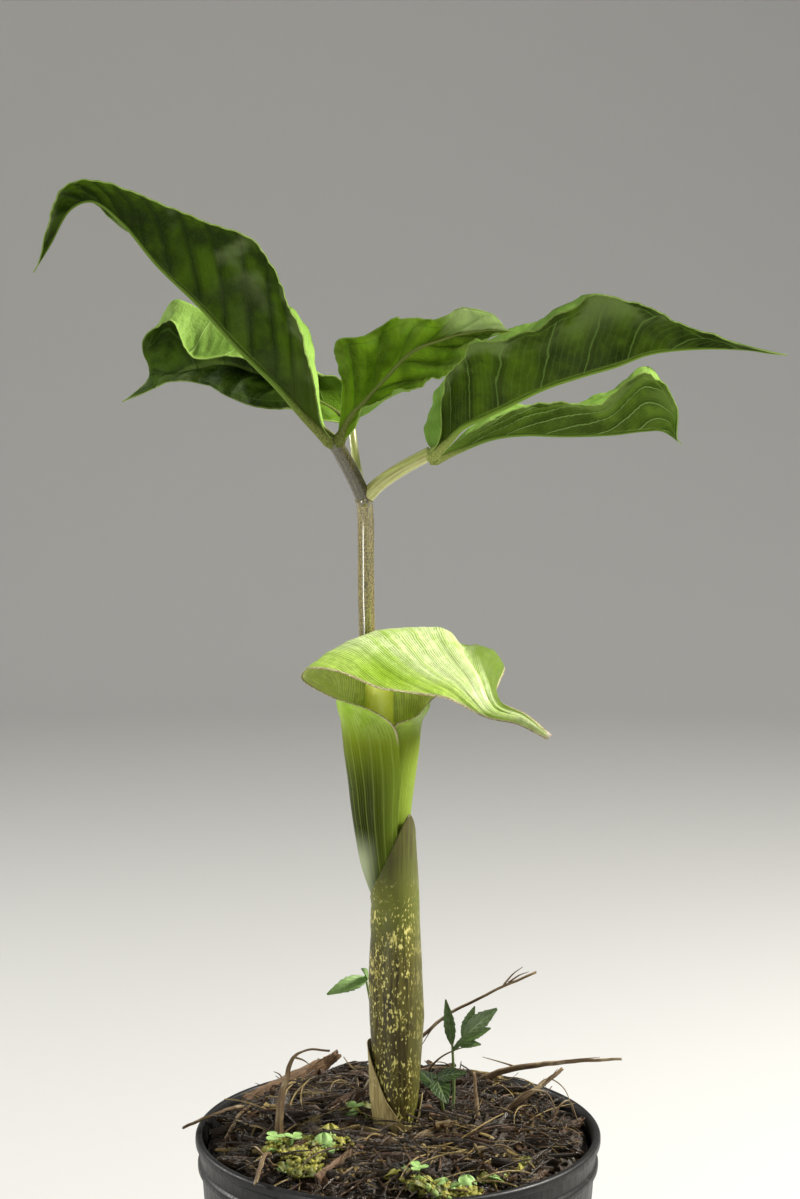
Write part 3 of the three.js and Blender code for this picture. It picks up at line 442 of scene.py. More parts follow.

# Each leaflet: its lines, and whether its sheet is turned over. Then the number and slant of its side veins,
# its swelling between them, its ruffled edge and the midrib's radius. Then its colours, painted darker as
# shade on a leaflet in shade and lighter as light on those that light shines through. Then how strong and
# how wide the side veins are, how strong the fine ones are, and how much light comes through.
LEAFLETS = {
    "leaflet_upper_left": {
        "midrib": [
            (-25.5, 10, 420.5), (-37, 7, 431), (-48, 4, 443), (-62, 0, 457), (-77, -4, 474), (-93, -8, 490),
            (-106, -12, 506), (-117, -15, 514), (-125, -17, 511), (-133, -20, 497), (-139, -22, 487),
        ],
        "near": [
            (-25, 8, 423), (-32, -4, 442), (-41, -13, 473), (-54.5, -18, 498), (-70, -19, 505.5),
            (-88, -20, 512), (-106, -20, 520), (-119, -20, 521), (-128, -21, 517), (-134, -22, 502),
            (-139, -23, 487),
        ],
        "far": [
            (-25, 12.5, 423), (-31.5, 20, 441), (-35, 28, 461), (-51, 30, 479), (-70, 27, 492),
            (-88, 20, 505), (-105, 4, 502), (-120, -4, 515), (-127, -10, 513), (-134, -17, 499),
            (-140, -20, 487),
        ],
        "turned": True,
        "veins": 15, "slant": 1.2, "ripple": 0.6, "ruffle": 1.0, "stalk": 2.9,
        "stem": LEFT_STEM,
        # Painted shade: this leaflet's greens are dark as if in shade, and its dark veins are painted shade
        # in the grooves
        "dark": (0.014, 0.028, 0.001),
        "painted_sheen": (0.17, 0.22, 0.085),
        "root": (0.06, 0.10, 0.006),
        "light": (0.068, 0.132, 0.003),
        "vein": (0.016, 0.036, 0.004),
        "rib": (0.16, 0.26, 0.035),
        "main": 0.8, "line": 0.02, "fine": 0.12, "through": 0.20,
    },
    "leaflet_rear_left": {
        "midrib": [
            (-18.5, 31, 426), (-30, 36, 433), (-44, 42, 440), (-59, 49, 445), (-71, 56, 448),
            (-83, 63, 446), (-95, 70, 442), (-104, 75, 438), (-117, 82, 431),
        ],
        "near": [
            (-19, 28.5, 427.5), (-29, 27, 427), (-43, 29, 431), (-58, 34, 432), (-68, 42, 435),
            (-80, 52, 440), (-94, 64, 440.5), (-103, 74, 437), (-117, 81, 430.5),
        ],
        "crest": [
            (-17.5, 33, 427), (-26, 39.5, 438), (-42, 51, 452), (-64, 58, 462), (-80, 63, 469),
            (-93, 69, 474), (-102, 73, 451), (-104.7, 76, 440), (-116.8, 82.5, 431.2),
        ],
        "far": [
            (-17, 33.8, 427.5), (-22.5, 39.5, 442), (-43, 36, 447), (-67, 40, 452), (-83, 45, 451),
            (-94, 57, 466), (-107, 70, 457), (-105.5, 77, 442), (-116.5, 83.5, 431.5),
        ],
        "veins": 8, "slant": 1.2, "ripple": 0.9, "ruffle": 1.0, "stalk": 1.7,
        "stem": LEFT_STEM,
        "dark": (0.016, 0.034, 0.002),
        "painted_sheen": (0.06, 0.10, 0.008),
        "root": (0.15, 0.29, 0.012),
        "light": (0.080, 0.150, 0.010),
        "vein": (0.10, 0.19, 0.03),
        "rib": (0.17, 0.27, 0.04),
        "main": 0.4, "line": 0.02, "fine": 0.10, "through": 0.25,
    },
    "leaflet_middle": {
        "midrib": [
            (-23, 8, 420.8), (-18, 0, 431), (-12, -7, 438), (-3, -14, 448), (6, -21, 457), (15, -28, 461),
            (24, -35, 464), (34, -42, 465.5), (43, -49, 465.5),
        ],
        "near": [
            (-23.9, 7.4, 421.8), (-22, 6, 442), (-24, 3, 460), (-14, -2, 462), (0, -11, 470),
            (13, -23, 469), (26, -26, 473.5), (35, -33, 472), (43, -48, 467),
        ],
        "far": [
            (-22, 7.2, 420.6), (-14, -14, 432), (-5, -25, 440), (6, -34, 444.5), (16, -39, 447.5),
            (23, -42, 455), (28, -44, 462), (36, -47, 464.5), (43, -50.5, 465.5),
        ],
        # Painted light from this far along: the near half of the tip is painted as lit
        "painted_light_from": 0.62,
        "veins": 7, "slant": 1.2, "ripple": 0.8, "ruffle": 2.0, "stalk": 2.3,
        "stem": LEFT_STEM,
        # Painted light: this leaflet's greens are light as if light shines through it
        "dark": (0.080, 0.150, 0.005),
        "painted_sheen": (0.30, 0.45, 0.06),
        "root": (0.17, 0.27, 0.015),
        "light": (0.250, 0.410, 0.018),
        "vein": (0.075, 0.125, 0.012),
        "rib": (0.25, 0.31, 0.07),
        "main": 0.7, "line": 0.02, "fine": 0.15, "through": 0.40,
    },
    "leaflet_upper_right": {
        "midrib": [
            (13, 12, 415), (19, 8, 420), (25, 5, 426), (33, 2, 430), (43, -2, 435), (57, -6, 442),
            (71, -10, 447), (84, -14, 451), (97, -18, 456), (113, -22, 458), (130, -26, 458),
            (148, -30, 456),
        ],
        "near": [
            (13, 9.5, 417.5), (16, 2, 431), (18, -7, 443), (21, -14, 456), (27, -18, 460), (44, -22, 462),
            (60, -25, 470), (76, -27, 478.5), (91, -28, 475), (108, -28, 467), (129, -29, 460.5),
            (148, -30, 457.5),
        ],
        "far": [
            (14, 14.5, 417), (10.5, 23, 421), (15.5, 31, 436), (27, 35, 453), (42, 33, 461.5),
            (58, 29, 468), (74, 23, 477), (87, 12, 473), (100, 2, 467), (114, -8, 462), (130, -20, 459),
            (148, -29, 455.5),
        ],
        "veins": 9, "slant": 1.0, "ripple": 0.9, "ruffle": 1.2, "stalk": 2.5,
        "stem": RIGHT_STEM,
        "dark": (0.022, 0.040, 0.002),
        "painted_sheen": (0.19, 0.26, 0.08),
        "root": (0.05, 0.09, 0.006),
        "light": (0.092, 0.162, 0.005),
        "vein": (0.17, 0.29, 0.055),
        "rib": (0.24, 0.38, 0.05),
        "main": 0.55, "line": 0.02, "fine": 0.15, "through": 0.28,
    },
    "leaflet_lower_right": {
        "midrib": [
            (14.5, 17, 412.5), (25, 22, 416), (38, 28, 420), (51, 34, 421), (69, 41, 420), (88, 48, 420),
            (102, 54, 421), (110, 58, 420.5), (118, 61, 415),
        ],
        "near": [
            (15.5, 14.5, 415), (29, 15, 424), (43, 18, 430), (52, 21, 434), (65, 25, 435),
            (82, 29, 433.5), (100, 34, 446), (114, 47, 433), (119, 60, 416),
        ],
        "far": [
            (16, 19.5, 414.5), (31, 34, 425), (45, 48, 431), (59, 58, 430), (76, 66, 431.5),
            (91, 72, 438), (105, 76, 446.5), (115, 71, 434), (118.5, 62.5, 416),
        ],
        "veins": 7, "slant": 3.4, "ripple": 0.5, "ruffle": 1.2, "stalk": 2.0,
        "stem": RIGHT_STEM,
        # Painted light: this leaflet's greens are light as if light shines through it
        "dark": (0.048, 0.088, 0.004),
        "painted_sheen": (0.20, 0.29, 0.06),
        "root": (0.18, 0.31, 0.03),
        "light": (0.170, 0.285, 0.022),
        "vein": (0.36, 0.52, 0.15),
        "rib": (0.24, 0.38, 0.06),
        "main": 0.85, "line": 0.045, "fine": 0.12, "through": 0.35,
    },
}


def leaf_middle(leaf, u, v):
    """Middle points of a leaflet's blade, u along it and v from its near edge to its far edge."""
    midrib = curve(leaf["midrib"], u)
    near = curve(leaf["near"], u)
    far = curve(leaf["far"], u)
    from_end = np.minimum(u, 1.0 - u)[:, None]
    opened = 1.0 - smoothstep(0.0, LEVEL_END, from_end)
    fade = smoothstep(0.0, 0.25, from_end)
    half = (near - far) / 2.0
    narrow = 1.0 - 0.9 * smoothstep(0.9, 1.0, u)[:, None] ** 2
    near = mix(midrib, mix(near, midrib + half, opened), narrow)
    far = mix(midrib, mix(far, midrib - half, opened), narrow)
    tangent = unit(np.gradient(midrib, axis=0))
    facing = -1.0 if leaf["midrib"][1][0] < leaf["midrib"][0][0] else 1.0
    points = np.empty((len(u), len(v), 3))
    for column, side in enumerate(2.0 * v - 1.0):
        across = abs(side)
        edge = near if side < 0 else far
        if "crest" in leaf and side > 0:
            crest = mix(curve(leaf["crest"], u), mix(midrib, edge, 0.5), opened)
            points[:, column] = curve([midrib, crest, edge], [across])[0]
            continue
        span = edge - midrib
        out = unit(np.cross(span, tangent)) * facing * (-1.0 if side < 0 else 1.0)
        camber = CAMBER * np.linalg.norm(span, axis=1, keepdims=True) * np.sin(np.pi * across) * fade
        between = np.abs(np.sin(np.pi * (leaf["veins"] * u - leaf["slant"] * across)))[:, None]
        swell = PILLOW * leaf["ripple"] * fade * np.sin(np.pi * across) * between
        points[:, column] = mix(midrib, edge, across) - out * (camber + swell)
    return points


def leaf_relief(middle, leaf, across, fade, seed):
    """Height of a leaflet's ruffled edge and of the dimples between its veins."""
    ruffle = waves(middle, 0.16, seed) * 1.3 + waves(middle, 0.45, seed + 1) * 0.6
    ruffle = (ruffle + waves(middle, 1.0, seed + 4) * 0.3) * smoothstep(0.5, 1.0, across) * leaf["ruffle"]
    dimple = waves(middle, 0.42, seed + 2) * 0.42 + waves(middle, 1.1, seed + 3) * 0.16
    return (ruffle + dimple * np.sin(np.pi * across) ** 0.6) * fade


def leaflet(name, leaf, seed):
    u = evenly(LEAF_ROWS)
    v = evenly(LEAF_COLUMNS)
    middle = leaf_middle(leaf, u, v)
    run, side = np.meshgrid(u, 2.0 * v - 1.0, indexing="ij")
    across = np.abs(side)
    fade = smoothstep(0.02, 0.2, np.minimum(run, 1.0 - run))
    reach = distance_across(middle)
    rim = np.where(side < 0, reach, reach[:, -1:] - reach)
    height = leaf_relief(middle, leaf, across, fade, seed)
    middle = middle + grid_normals(middle) * height[..., None]
    phase = leaf["veins"] * run - leaf["slant"] * across
    from_vein = np.abs(phase - np.round(phase))
    vein = VEIN_HEIGHT * np.exp(-(from_vein / VEIN_WIDTH) ** 2) * smoothstep(0.0, 3.0, rim) * fade
    above = np.full(middle.shape[:2], LEAF_THICKNESS / 2.0)
    below = above + vein
    place = np.dstack([phase, side, run])
    if "turned" in leaf:
        middle, above, below, place, rim = (grid[:, ::-1] for grid in (middle, above, below, place, rim))
    batch = Batch()
    batch.add(*thin_sheet(middle, above, below), leaf=np.tile(place.reshape(-1, 3), (2, 1)),
              rim=np.tile(rim.reshape(-1), 2), upper=np.repeat([1.0, 0.0], above.size))
    leaf_rib(batch, leaf, middle)
    batch.piece(name + "_blade", leaf_finish(name, leaf), [name], "leaf")


def leaf_rib(batch, leaf, middle):
    """The midrib: a rounded stalk under the blade, thick at the base and fine towards the tip."""
    centre = LEAF_COLUMNS // 2
    last = int(0.97 * LEAF_ROWS)
    u = evenly(LEAF_ROWS)[:last]
    radius = leaf["stalk"] * 0.84 * np.exp(-u / 0.10) + (0.16 * leaf["stalk"] + 0.55) * np.sqrt(1.0 - u)
    radius[0] *= 0.6
    outward = unit(middle[:last, centre] - 0.5 * (middle[:last, centre - 8] + middle[:last, centre + 8]))
    route = middle[:last, centre] + outward * (0.35 * radius)[:, None]
    points, faces, _ = tube(route, radius, RIB_SIDES)
    run = np.repeat(u, RIB_SIDES)
    between_veins = np.full_like(run, 0.5)
    place = np.stack([between_veins, 0.0 * run, run], axis=1)
    batch.add(points, faces, leaf=place, rim=10.0, upper=0.0)


def leaf_finish(name, leaf):
    """Satin green with side veins, a finer net between them and a collecting vein, with painted shade along
    the veins, painted sheen patches and a painted rim light along the edge.
    """
    f = Finish(name + "_green")
    phase, side, run = f.parts(f.mark("leaf", "Vector"))
    rim = f.mark("rim")
    across = f.math("ABSOLUTE", side)
    here = f.place()
    lined = f.plus(phase, f.times(f.minus(f.noise(here, 0.09, 2.0), 0.5), 0.22))
    from_vein = f.from_whole(lined)
    main = f.step(from_vein, 0.010 + leaf["line"], 0.4 * leaf["line"])
    # Painted light and shade: lighter on the swells between the side veins and darker along the veins
    painted_swell_light = f.step(from_vein, 0.02, 0.30)
    fine = f.step(f.from_whole(f.times(lined, FINE_VEINS)), 0.20, 0.03)
    net = f.step(f.cells(here, 0.62, "DISTANCE_TO_EDGE"), 0.10, 0.0)
    collect = f.step(f.math("ABSOLUTE", f.minus(rim, COLLECTING_VEIN)), 0.5, 0.1)
    inside = f.step(rim, COLLECTING_VEIN - 0.6, COLLECTING_VEIN)
    blotch = f.noise(here, 0.055, 4.0, 0.6)
    shade = f.times(f.step(blotch, 0.34, 0.66), f.plus(f.times(painted_swell_light, 0.75), 0.25))
    lamina = f.cover(leaf["dark"], leaf["light"], shade)
    lamina = f.cover(lamina, leaf["light"], net, 0.22)
    lamina = f.cover(lamina, leaf["vein"], fine, inside, leaf["fine"])
    lamina = f.cover(lamina, leaf["vein"], main, inside, leaf["main"])
    lamina = f.cover(lamina, leaf["vein"], collect, 0.4)
    # Painted sheen: greyish patches towards the edges, where light glances off
    patch = f.step(f.noise(here, 0.045, 3.0, 0.5), 0.44, 0.60)
    lamina = f.cover(lamina, leaf["painted_sheen"], patch, f.step(across, 0.35, 0.85, 0.1, 0.75))
    lamina = f.cover(lamina, leaf["root"], f.step(run, 0.24, 0.06, 0.0, 0.8))
    stalk = f.tone(f.noise(here, 1.4, 3.0), *leaf["stem"], 0.38, 0.62)
    stalk = f.cover(stalk, leaf["rib"], f.step(run, 0.04, 0.22))
    lamina = f.cover(lamina, stalk, f.step(across, 0.05, 0.01))
    # Painted light: the near half of the tip is painted pale lime, as if turned up to the light
    if "painted_light_from" in leaf:
        tip = f.step(run, leaf["painted_light_from"], leaf["painted_light_from"] + 0.14)
        lamina = f.cover(lamina, PAINTED_LIT_TIP, tip, f.step(side, -0.05, -0.25))
    # The upper face: its own green, painted lighter as if lit from above
    face = f.tone(blotch, *UPPER_FACE, 0.3, 0.7)
    face = f.cover(face, UPPER_VEIN, f.most(main, f.times(fine, 0.35)), 0.4)
    colour = f.cover(lamina, face, f.mark("upper"))
    # Painted rim light along the edge
    colour = f.cover(colour, PAINTED_RIM_LIGHT, f.step(rim, 0.8, 0.3), 0.65)
    relief = f.minus(f.times(f.noise(here, 0.75, 4.0, 0.6), 0.9), f.times(net, 0.3))
    relief = f.minus(relief, f.times(fine, 0.4 * leaf["fine"]))
    relief = f.minus(relief, f.times(main, 0.6))
    roughness = f.step(f.noise(here, 0.12, 3.0), 0.3, 0.7, 0.50, 0.66)
    surface = f.surface(colour, roughness, f.bump(relief, 0.42, 0.7), Specular_IOR_Level=0.10)
    return f.done(f.glow_through(surface, colour, leaf["through"]))


for seed, (name, leaf) in enumerate(LEAFLETS.items()):
    leaflet(name, leaf, LEAF_SEED + 10 * seed)


# Spathe: one sheet. Its tube is rolled with its edges crossed in front, its hood bends over the mouth, and
# the hood runs out into a drooping tail on the right.

SPATHE_ROWS = 190
SPATHE_COLUMNS = 125
SECTION_POINTS = 13

# The sheet's left edge crosses outside its right edge, by twice this in millimetres
EDGE_SPREAD = 0.9

# Height, centre x and y, radius, and how far past the front the left and the right edge go, in radians
TUBE_SECTIONS = [
    (223.3, -3.0, -1.6, 3.2, 0.5, 0.05),
    (229, -3.2, -1.6, 3.5, 0.5, 0.05),
    (235, -3.8, -1.5, 5.0, 0.5, 0.05),
    (242, -4.4, -1.4, 7.0, 0.5, 0.05),
    (251, -4.9, -1.2, 9.4, 0.5, 0.05),
    (262, -5.8, -0.8, 10.6, 0.5, 0.05),
    (275, -6.3, -0.3, 12.0, 0.5, 0.05),
    (285, -6.2, 0.0, 13.2, 0.5, 0.05),
    (297, -6.2, 0.0, 14.8, 0.45, 0.1),
    (309.5, -6.1, 0.0, 16.2, 0.29, 0.29),
]

# From the left edge round the back to the right edge
HOOD_SECTIONS = [
    [(-9, -18, 316), (-24, -2, 315), (-6, 17.5, 317), (12, 0, 315), (7, -18, 314)],
    [(-26, -13, 321), (-25, 5, 323), (-6, 19, 327), (12.5, 9, 324), (14, -10, 320)],
    [(-38, -6, 327), (-28, 9, 330), (-7, 21, 334), (16, 13, 330), (24, -3, 324)],
    [(-36, -12, 332), (-25, 4, 337.5), (-4, 19, 342), (20, 15, 336), (34, 7, 326)],
    [(-22, -21, 332), (-14, -5, 341.5), (5, 12, 344.5), (29, 14, 338), (40, 9, 331.5)],
    [(-7, -28, 327), (-1, -15, 338), (14, 1, 344.5), (32.5, 6, 338.8), (42.3, 3, 329.5)],
    [(7, -31, 325.5), (12, -23, 333), (22, -11, 339.8), (33, -6, 336), (39.8, -8, 325.8)],
    [(19, -31, 323.5), (24, -27, 328.5), (31, -21, 331), (35.6, -18, 328), (37.8, -18, 322.5)],
    [(34.5, -31.5, 316), (35.6, -31, 318.2), (37.3, -29.2, 319.6), (39.2, -26.8, 320.6), (40.5, -24, 320.5)],
    [(46, -32, 313.6), (47, -32, 315), (48, -31.7, 316), (49, -30.8, 316.8), (49.6, -29.5, 317.4)],
    [(57.6, -33.8, 308), (58, -33.6, 308.4), (58.5, -33.4, 308.8), (59, -33.1, 309.2), (59.6, -32.6, 309.6)],
]


def tube_row(z, x, y, radius, left, right):
    """A row of the sheet in the tube, from its left edge round the back to its right edge."""
    w = evenly(SECTION_POINTS, -1.0)
    turn = np.where(w < 0, w * (np.pi + left), w * (np.pi - right))
    reach = radius - EDGE_SPREAD * w
    return np.stack([x + reach * np.sin(turn), y + reach * np.cos(turn), np.full_like(w, z)], axis=1)


# Veins run slanted from the mouth over the hood, and straight in the tube
HOOD_START = 0.57
VEIN_SLANT = 1.5
COARSE_VEINS = 26.0
FINE_SPATHE_VEINS = 84.0
SPATHE_RIBS = 24.0

# The hood dips behind its ridge: how far along, how far across, and how deep in millimetres
FOLD = np.array([
    (0.62, 0.76, 0.0), (0.68, 0.73, 2.2), (0.72, 0.70, 3.4), (0.76, 0.665, 3.6), (0.80, 0.63, 3.4),
    (0.85, 0.58, 2.4), (0.90, 0.54, 0.8), (0.94, 0.5, 0.0),
])


def hood_relief(run, wide):
    """Height of the hood's fold, of the ridge beside it and of low waves along its veins."""
    place, deep = (np.interp(run, FOLD[:, 0], FOLD[:, k]) for k in (1, 2))
    dip = -deep * np.exp(-((wide - place) / 0.05) ** 2)
    ridge = 0.35 * deep * np.exp(-((wide - place + 0.13) / 0.06) ** 2)
    lined = wide + VEIN_SLANT * np.maximum(run - HOOD_START, 0.0)
    lobe = 0.5 * deep * np.exp(-((wide - 0.9) / 0.08) ** 2)
    swell = np.sin(lined * 47.0) * 0.13 + np.sin(lined * 101.0 + 2.0) * 0.08
    return dip + ridge + lobe + swell * smoothstep(0.52, 0.64, run) * (1.0 - smoothstep(0.84, 0.95, run))


def spathe():
    w = evenly(SECTION_POINTS)
    rows = [tube_row(*section) for section in TUBE_SECTIONS]
    rows += [curve(section, w) for section in HOOD_SECTIONS]
    u = evenly(SPATHE_ROWS)
    v = evenly(SPATHE_COLUMNS)
    columns = curve(np.array(rows), u).swapaxes(0, 1)
    middle = curve(columns, v).swapaxes(0, 1)
    run, wide = np.meshgrid(u, v, indexing="ij")
    middle = middle + grid_normals(middle) * hood_relief(run, wide)[..., None]
    reach = distance_across(middle)
    rim = np.minimum(reach, reach[:, -1:] - reach)
    half = SPATHE_THICKNESS / 2.0 * (0.55 + 0.45 * smoothstep(0.0, 2.5, rim))
    ribs = 0.05 * np.abs(np.sin(np.pi * SPATHE_RIBS * wide)) * smoothstep(0.0, 3.0, rim)
    points, faces = thin_sheet(middle, half + ribs, half)
    marks = {
        "spathe": np.tile(np.dstack([wide, run, wide]).reshape(-1, 3), (2, 1)),
        "rim": np.tile(rim.reshape(-1), 2),
        "inner": np.repeat([0.0, 1.0], rim.size),
    }
    add_piece("spathe_sheet", points, faces, spathe_finish(), ["spathe"], marks=marks)


def hood_colour(f, wide, run, veins, streak):
    """Lime green, with a painted highlight on the streaky middle and painted shade on the right lobe."""
    cloud = f.noise(f.place(0.5), 0.07, 4.0, 0.6)
    colour = f.tone(cloud, (0.42, 0.65, 0.050), (0.62, 0.83, 0.18), 0.34, 0.66)
    # Painted highlight: a whitish gloss over the middle of the hood
    middle = f.times(f.step(run, 0.60, 0.68), f.step(wide, 0.10, 0.28))
    painted_highlight = f.times(f.step(streak, 0.34, 0.56, 0.40, 1.0), middle, f.step(cloud, 0.34, 0.50, 0.55, 1.0))
    colour = f.cover(colour, (0.86, 0.95, 0.56), painted_highlight, 0.9)
    colour = f.cover(colour, (0.22, 0.40, 0.02), veins, 0.72)
    # Painted shade: the right lobe, which curls away from the light, is painted darker
    lobe = f.times(f.step(wide, 0.62, 0.74), f.step(run, 0.64, 0.70))
    return f.cover(colour, (0.135, 0.225, 0.010), lobe, 0.9)


def tube_colour(f, x, height, veins):
    """Green, yellower at the top, painted lighter on the right and darker on the left as if lit from the
    right, with a painted shadow low on the left and a painted highlight at the foot's left.
    """
    # Painted light and shade: lighter and yellower on the right, darker on the left
    colour = f.tone(x, (0.070, 0.098, 0.002), (0.27, 0.38, 0.040), -13.0, 6.0)
    colour = f.cover(colour, (0.25, 0.33, 0.012), f.step(height, 282.0, 306.0, 0.0, 0.7))
    # Painted shadow: dark low on the left of the tube
    shaded = f.times(f.step(x, 2.0, -14.0), f.step(height, 306.0, 264.0, 0.0, 0.92))
    colour = f.cover(colour, (0.018, 0.029, 0.001), shaded)
    # Painted highlight: nearly white at the left of the tube's foot
    foot = f.times(f.step(height, 268.0, 252.0), f.step(x, -7.0, -14.0, 0.0, 0.85))
    colour = f.cover(colour, (0.50, 0.56, 0.36), foot)
    return f.cover(colour, (0.38, 0.50, 0.09), veins, 0.30)


def spathe_finish():
    """Lime green and glossy, darker in the tube and pale inside, with fine veins, a thin brown edge, and
    painted light and shade on the hood and the tube.
    """
    f = Finish("spathe_lime")
    wide, run, _ = f.parts(f.mark("spathe", "Vector"))
    rim = f.mark("rim")
    here = f.place()
    x, _, height = f.parts(here)
    wander = f.times(f.noise(f.place(0.2), 0.08, 2.0), 0.03)
    past = f.most(f.minus(run, HOOD_START), 0.0)
    lined = f.plus(f.plus(wide, wander), f.times(past, VEIN_SLANT))
    coarse = f.step(f.from_whole(f.times(lined, COARSE_VEINS)), 0.13, 0.03)
    fine = f.step(f.from_whole(f.times(lined, FINE_SPATHE_VEINS)), 0.28, 0.06)
    broken = f.step(f.noise(here, 0.30, 3.0, 0.6), 0.36, 0.56)
    veins = f.most(f.times(coarse, 0.5), f.times(fine, broken))
    streak = f.noise(f.join(f.times(lined, 42.0), f.times(run, 6.0)), 1.0, 4.0, 0.65)
    in_hood = f.step(height, 300.0, 320.0)
    tube_green = tube_colour(f, x, height, f.most(coarse, f.times(fine, 0.3)))
    colour = f.cover(tube_green, hood_colour(f, wide, run, veins, streak), in_hood)
    inside = f.tone(streak, (0.86, 0.90, 0.40), (0.95, 0.97, 0.55), 0.36, 0.64)
    inside = f.cover(inside, (0.38, 0.36, 0.20), veins, 0.6)
    colour = f.cover(colour, inside, f.mark("inner"))
    free_edge = f.step(height, 301.0, 308.0)
    speckled = f.step(f.noise(here, 1.3, 3.0, 0.6), 0.38, 0.62, 0.15, 0.9)
    colour = f.cover(colour, (0.66, 0.66, 0.36), f.step(rim, 1.1, 0.7), free_edge)
    colour = f.cover(colour, (0.27, 0.16, 0.09), f.step(rim, 0.8, 0.3), free_edge, speckled)
    colour = f.cover(colour, (0.72, 0.62, 0.52), f.step(x, 56.5, 58.8))
    relief = f.minus(f.times(f.noise(here, 0.7, 3.0), 0.4), f.times(veins, 0.6))
    relief = f.plus(relief, f.times(streak, 0.8))
    roughness = f.step(f.noise(here, 0.15, 3.0), 0.3, 0.7, 0.26, 0.40)
    shine = f.step(in_hood, 0.0, 1.0, 0.08, 0.3)
    surface = f.surface(colour, roughness, f.bump(relief, 0.30, 0.6), Specular_IOR_Level=shine)
    return f.done(f.glow_through(surface, colour, 0.30))


spathe()


# Spadix: a column of flowers low in the tube, a narrow neck and a pale club

SPADIX_ROUTE = [
    (-3, -1.6, 223.3), (-3.6, -1.5, 236), (-5, -1.2, 255), (-6.6, -1, 290), (-7.4, -1.4, 320),
    (-7, -1.5, 333),
]
SPADIX_ROWS = 150
SPADIX_SIDES = 40


def spadix():
    t = evenly(SPADIX_ROWS)
    rise = smoothstep(0.22, 0.32, t)
    neck = 1.0 - smoothstep(0.44, 0.5, t)
    club = smoothstep(0.5, 0.7, t)
    tip = rounded(np.maximum(0.0, t - 0.93) / 0.071, 0.02)
    radius = (1.5 + 3.4 * rise * neck + 4.1 * club) * tip
    batch = Batch()
    flowers = rise * neck

    def relief(run, angle):
        grain = np.interp(run, t, flowers)
        return 0.25 * grain * np.sin(run * 320.0) * np.sin(angle * 14.0 + run * 160.0)

    add_tube(batch, curve(SPADIX_ROUTE, t), radius, SPADIX_SIDES, relief=relief)
    batch.piece("spadix_club", spadix_finish(), ["spadix"], "spadix")


def spadix_finish():
    f = Finish("spadix_pale")
    here = f.place()
    grain = f.noise(here, 0.9, 3.0)
    colour = f.tone(grain, (0.89, 0.95, 0.12), (0.93, 0.98, 0.20))
    return f.done(f.surface(colour, 0.4, f.bump(grain, 0.2, 0.5), Subsurface_Weight=0.1))


spadix()


# Pseudostem: the mottled sheath, which opens above into a cup with a pointed front

STEM_FOOT = 112.0
CUP_FLOOR = 223.0
CUP_WALL = 0.7
CUP_LOW_EDGE = 233.0
CUP_LEAN = 1.3
BASAL_FOOT = 130.0
BASAL_EDGE = 143.0
SHEATH_SIDES = 96
STEM_RINGS = 90
CUP_RINGS = 36
BASAL_RINGS = 40
STEM_SEED = 31
BASAL_SEED = 41

# Height, centre x and y, half width and half depth
STEM_SECTIONS = np.array([
    (112, -0.5, 0, 7.5, 7.5),
    (144, -0.6, 0, 8.4, 8.6),
    (154, -1.0, 0, 9.3, 9.4),
    (175, -0.4, 0.5, 10.4, 10.4),
    (187, -0.4, 1.0, 11.2, 11.2),
    (203, -1.2, 1.5, 10.9, 11.6),
    (221, -0.8, 2.0, 10.1, 12.0),
    (234, -1.5, 2.2, 10.3, 13.0),
    (248, -4.0, 1.8, 12.0, 15.6),
    (262, -5.8, -0.4, 13.0, 13.7),
    (276, -6.3, -0.2, 14.0, 14.4),
])


def stem_point(z, angle, stand):
    """A place on the sheath. Angle 0 is to the right and a quarter turn is to the back."""
    x, y, wide, deep = (np.interp(z, STEM_SECTIONS[:, 0], STEM_SECTIONS[:, k]) for k in range(1, 5))
    return np.stack([x + (wide + stand) * np.cos(angle), y + (deep + stand) * np.sin(angle),
                     z + 0.0 * angle], axis=-1)


def turn_between(a, b):
    """The angle between two directions."""
    return np.abs(np.arctan2(np.sin(a - b), np.cos(a - b)))


def cup_top(angle):
    """Height of the cup's edge, which rises to a point in front on the right."""
    tip = 40.0 * np.exp(-(turn_between(angle, -0.67) / 1.25) ** 1.45)
    back = 9.0 * np.maximum(0.0, np.sin(angle)) ** 2
    return CUP_LOW_EDGE + tip + back


def basal_top(angle):
    """Height of the basal sheath's edge, with a tip on the left and a lower one on the right."""
    tip = 33.0 * np.exp(-(turn_between(angle, 2.9) / 1.45) ** 2.6)
    right = 12.0 * np.exp(-(turn_between(angle, 0.0) / 0.5) ** 2)
    return BASAL_EDGE + tip + right


def closed_loft(rings):
    """Points and faces of rings joined one to the next, and the last to the first."""
    levels, sides = rings.shape[:2]
    return rings.reshape(-1, 3), grid_faces(levels + 1, sides, around=True) % (levels * sides)


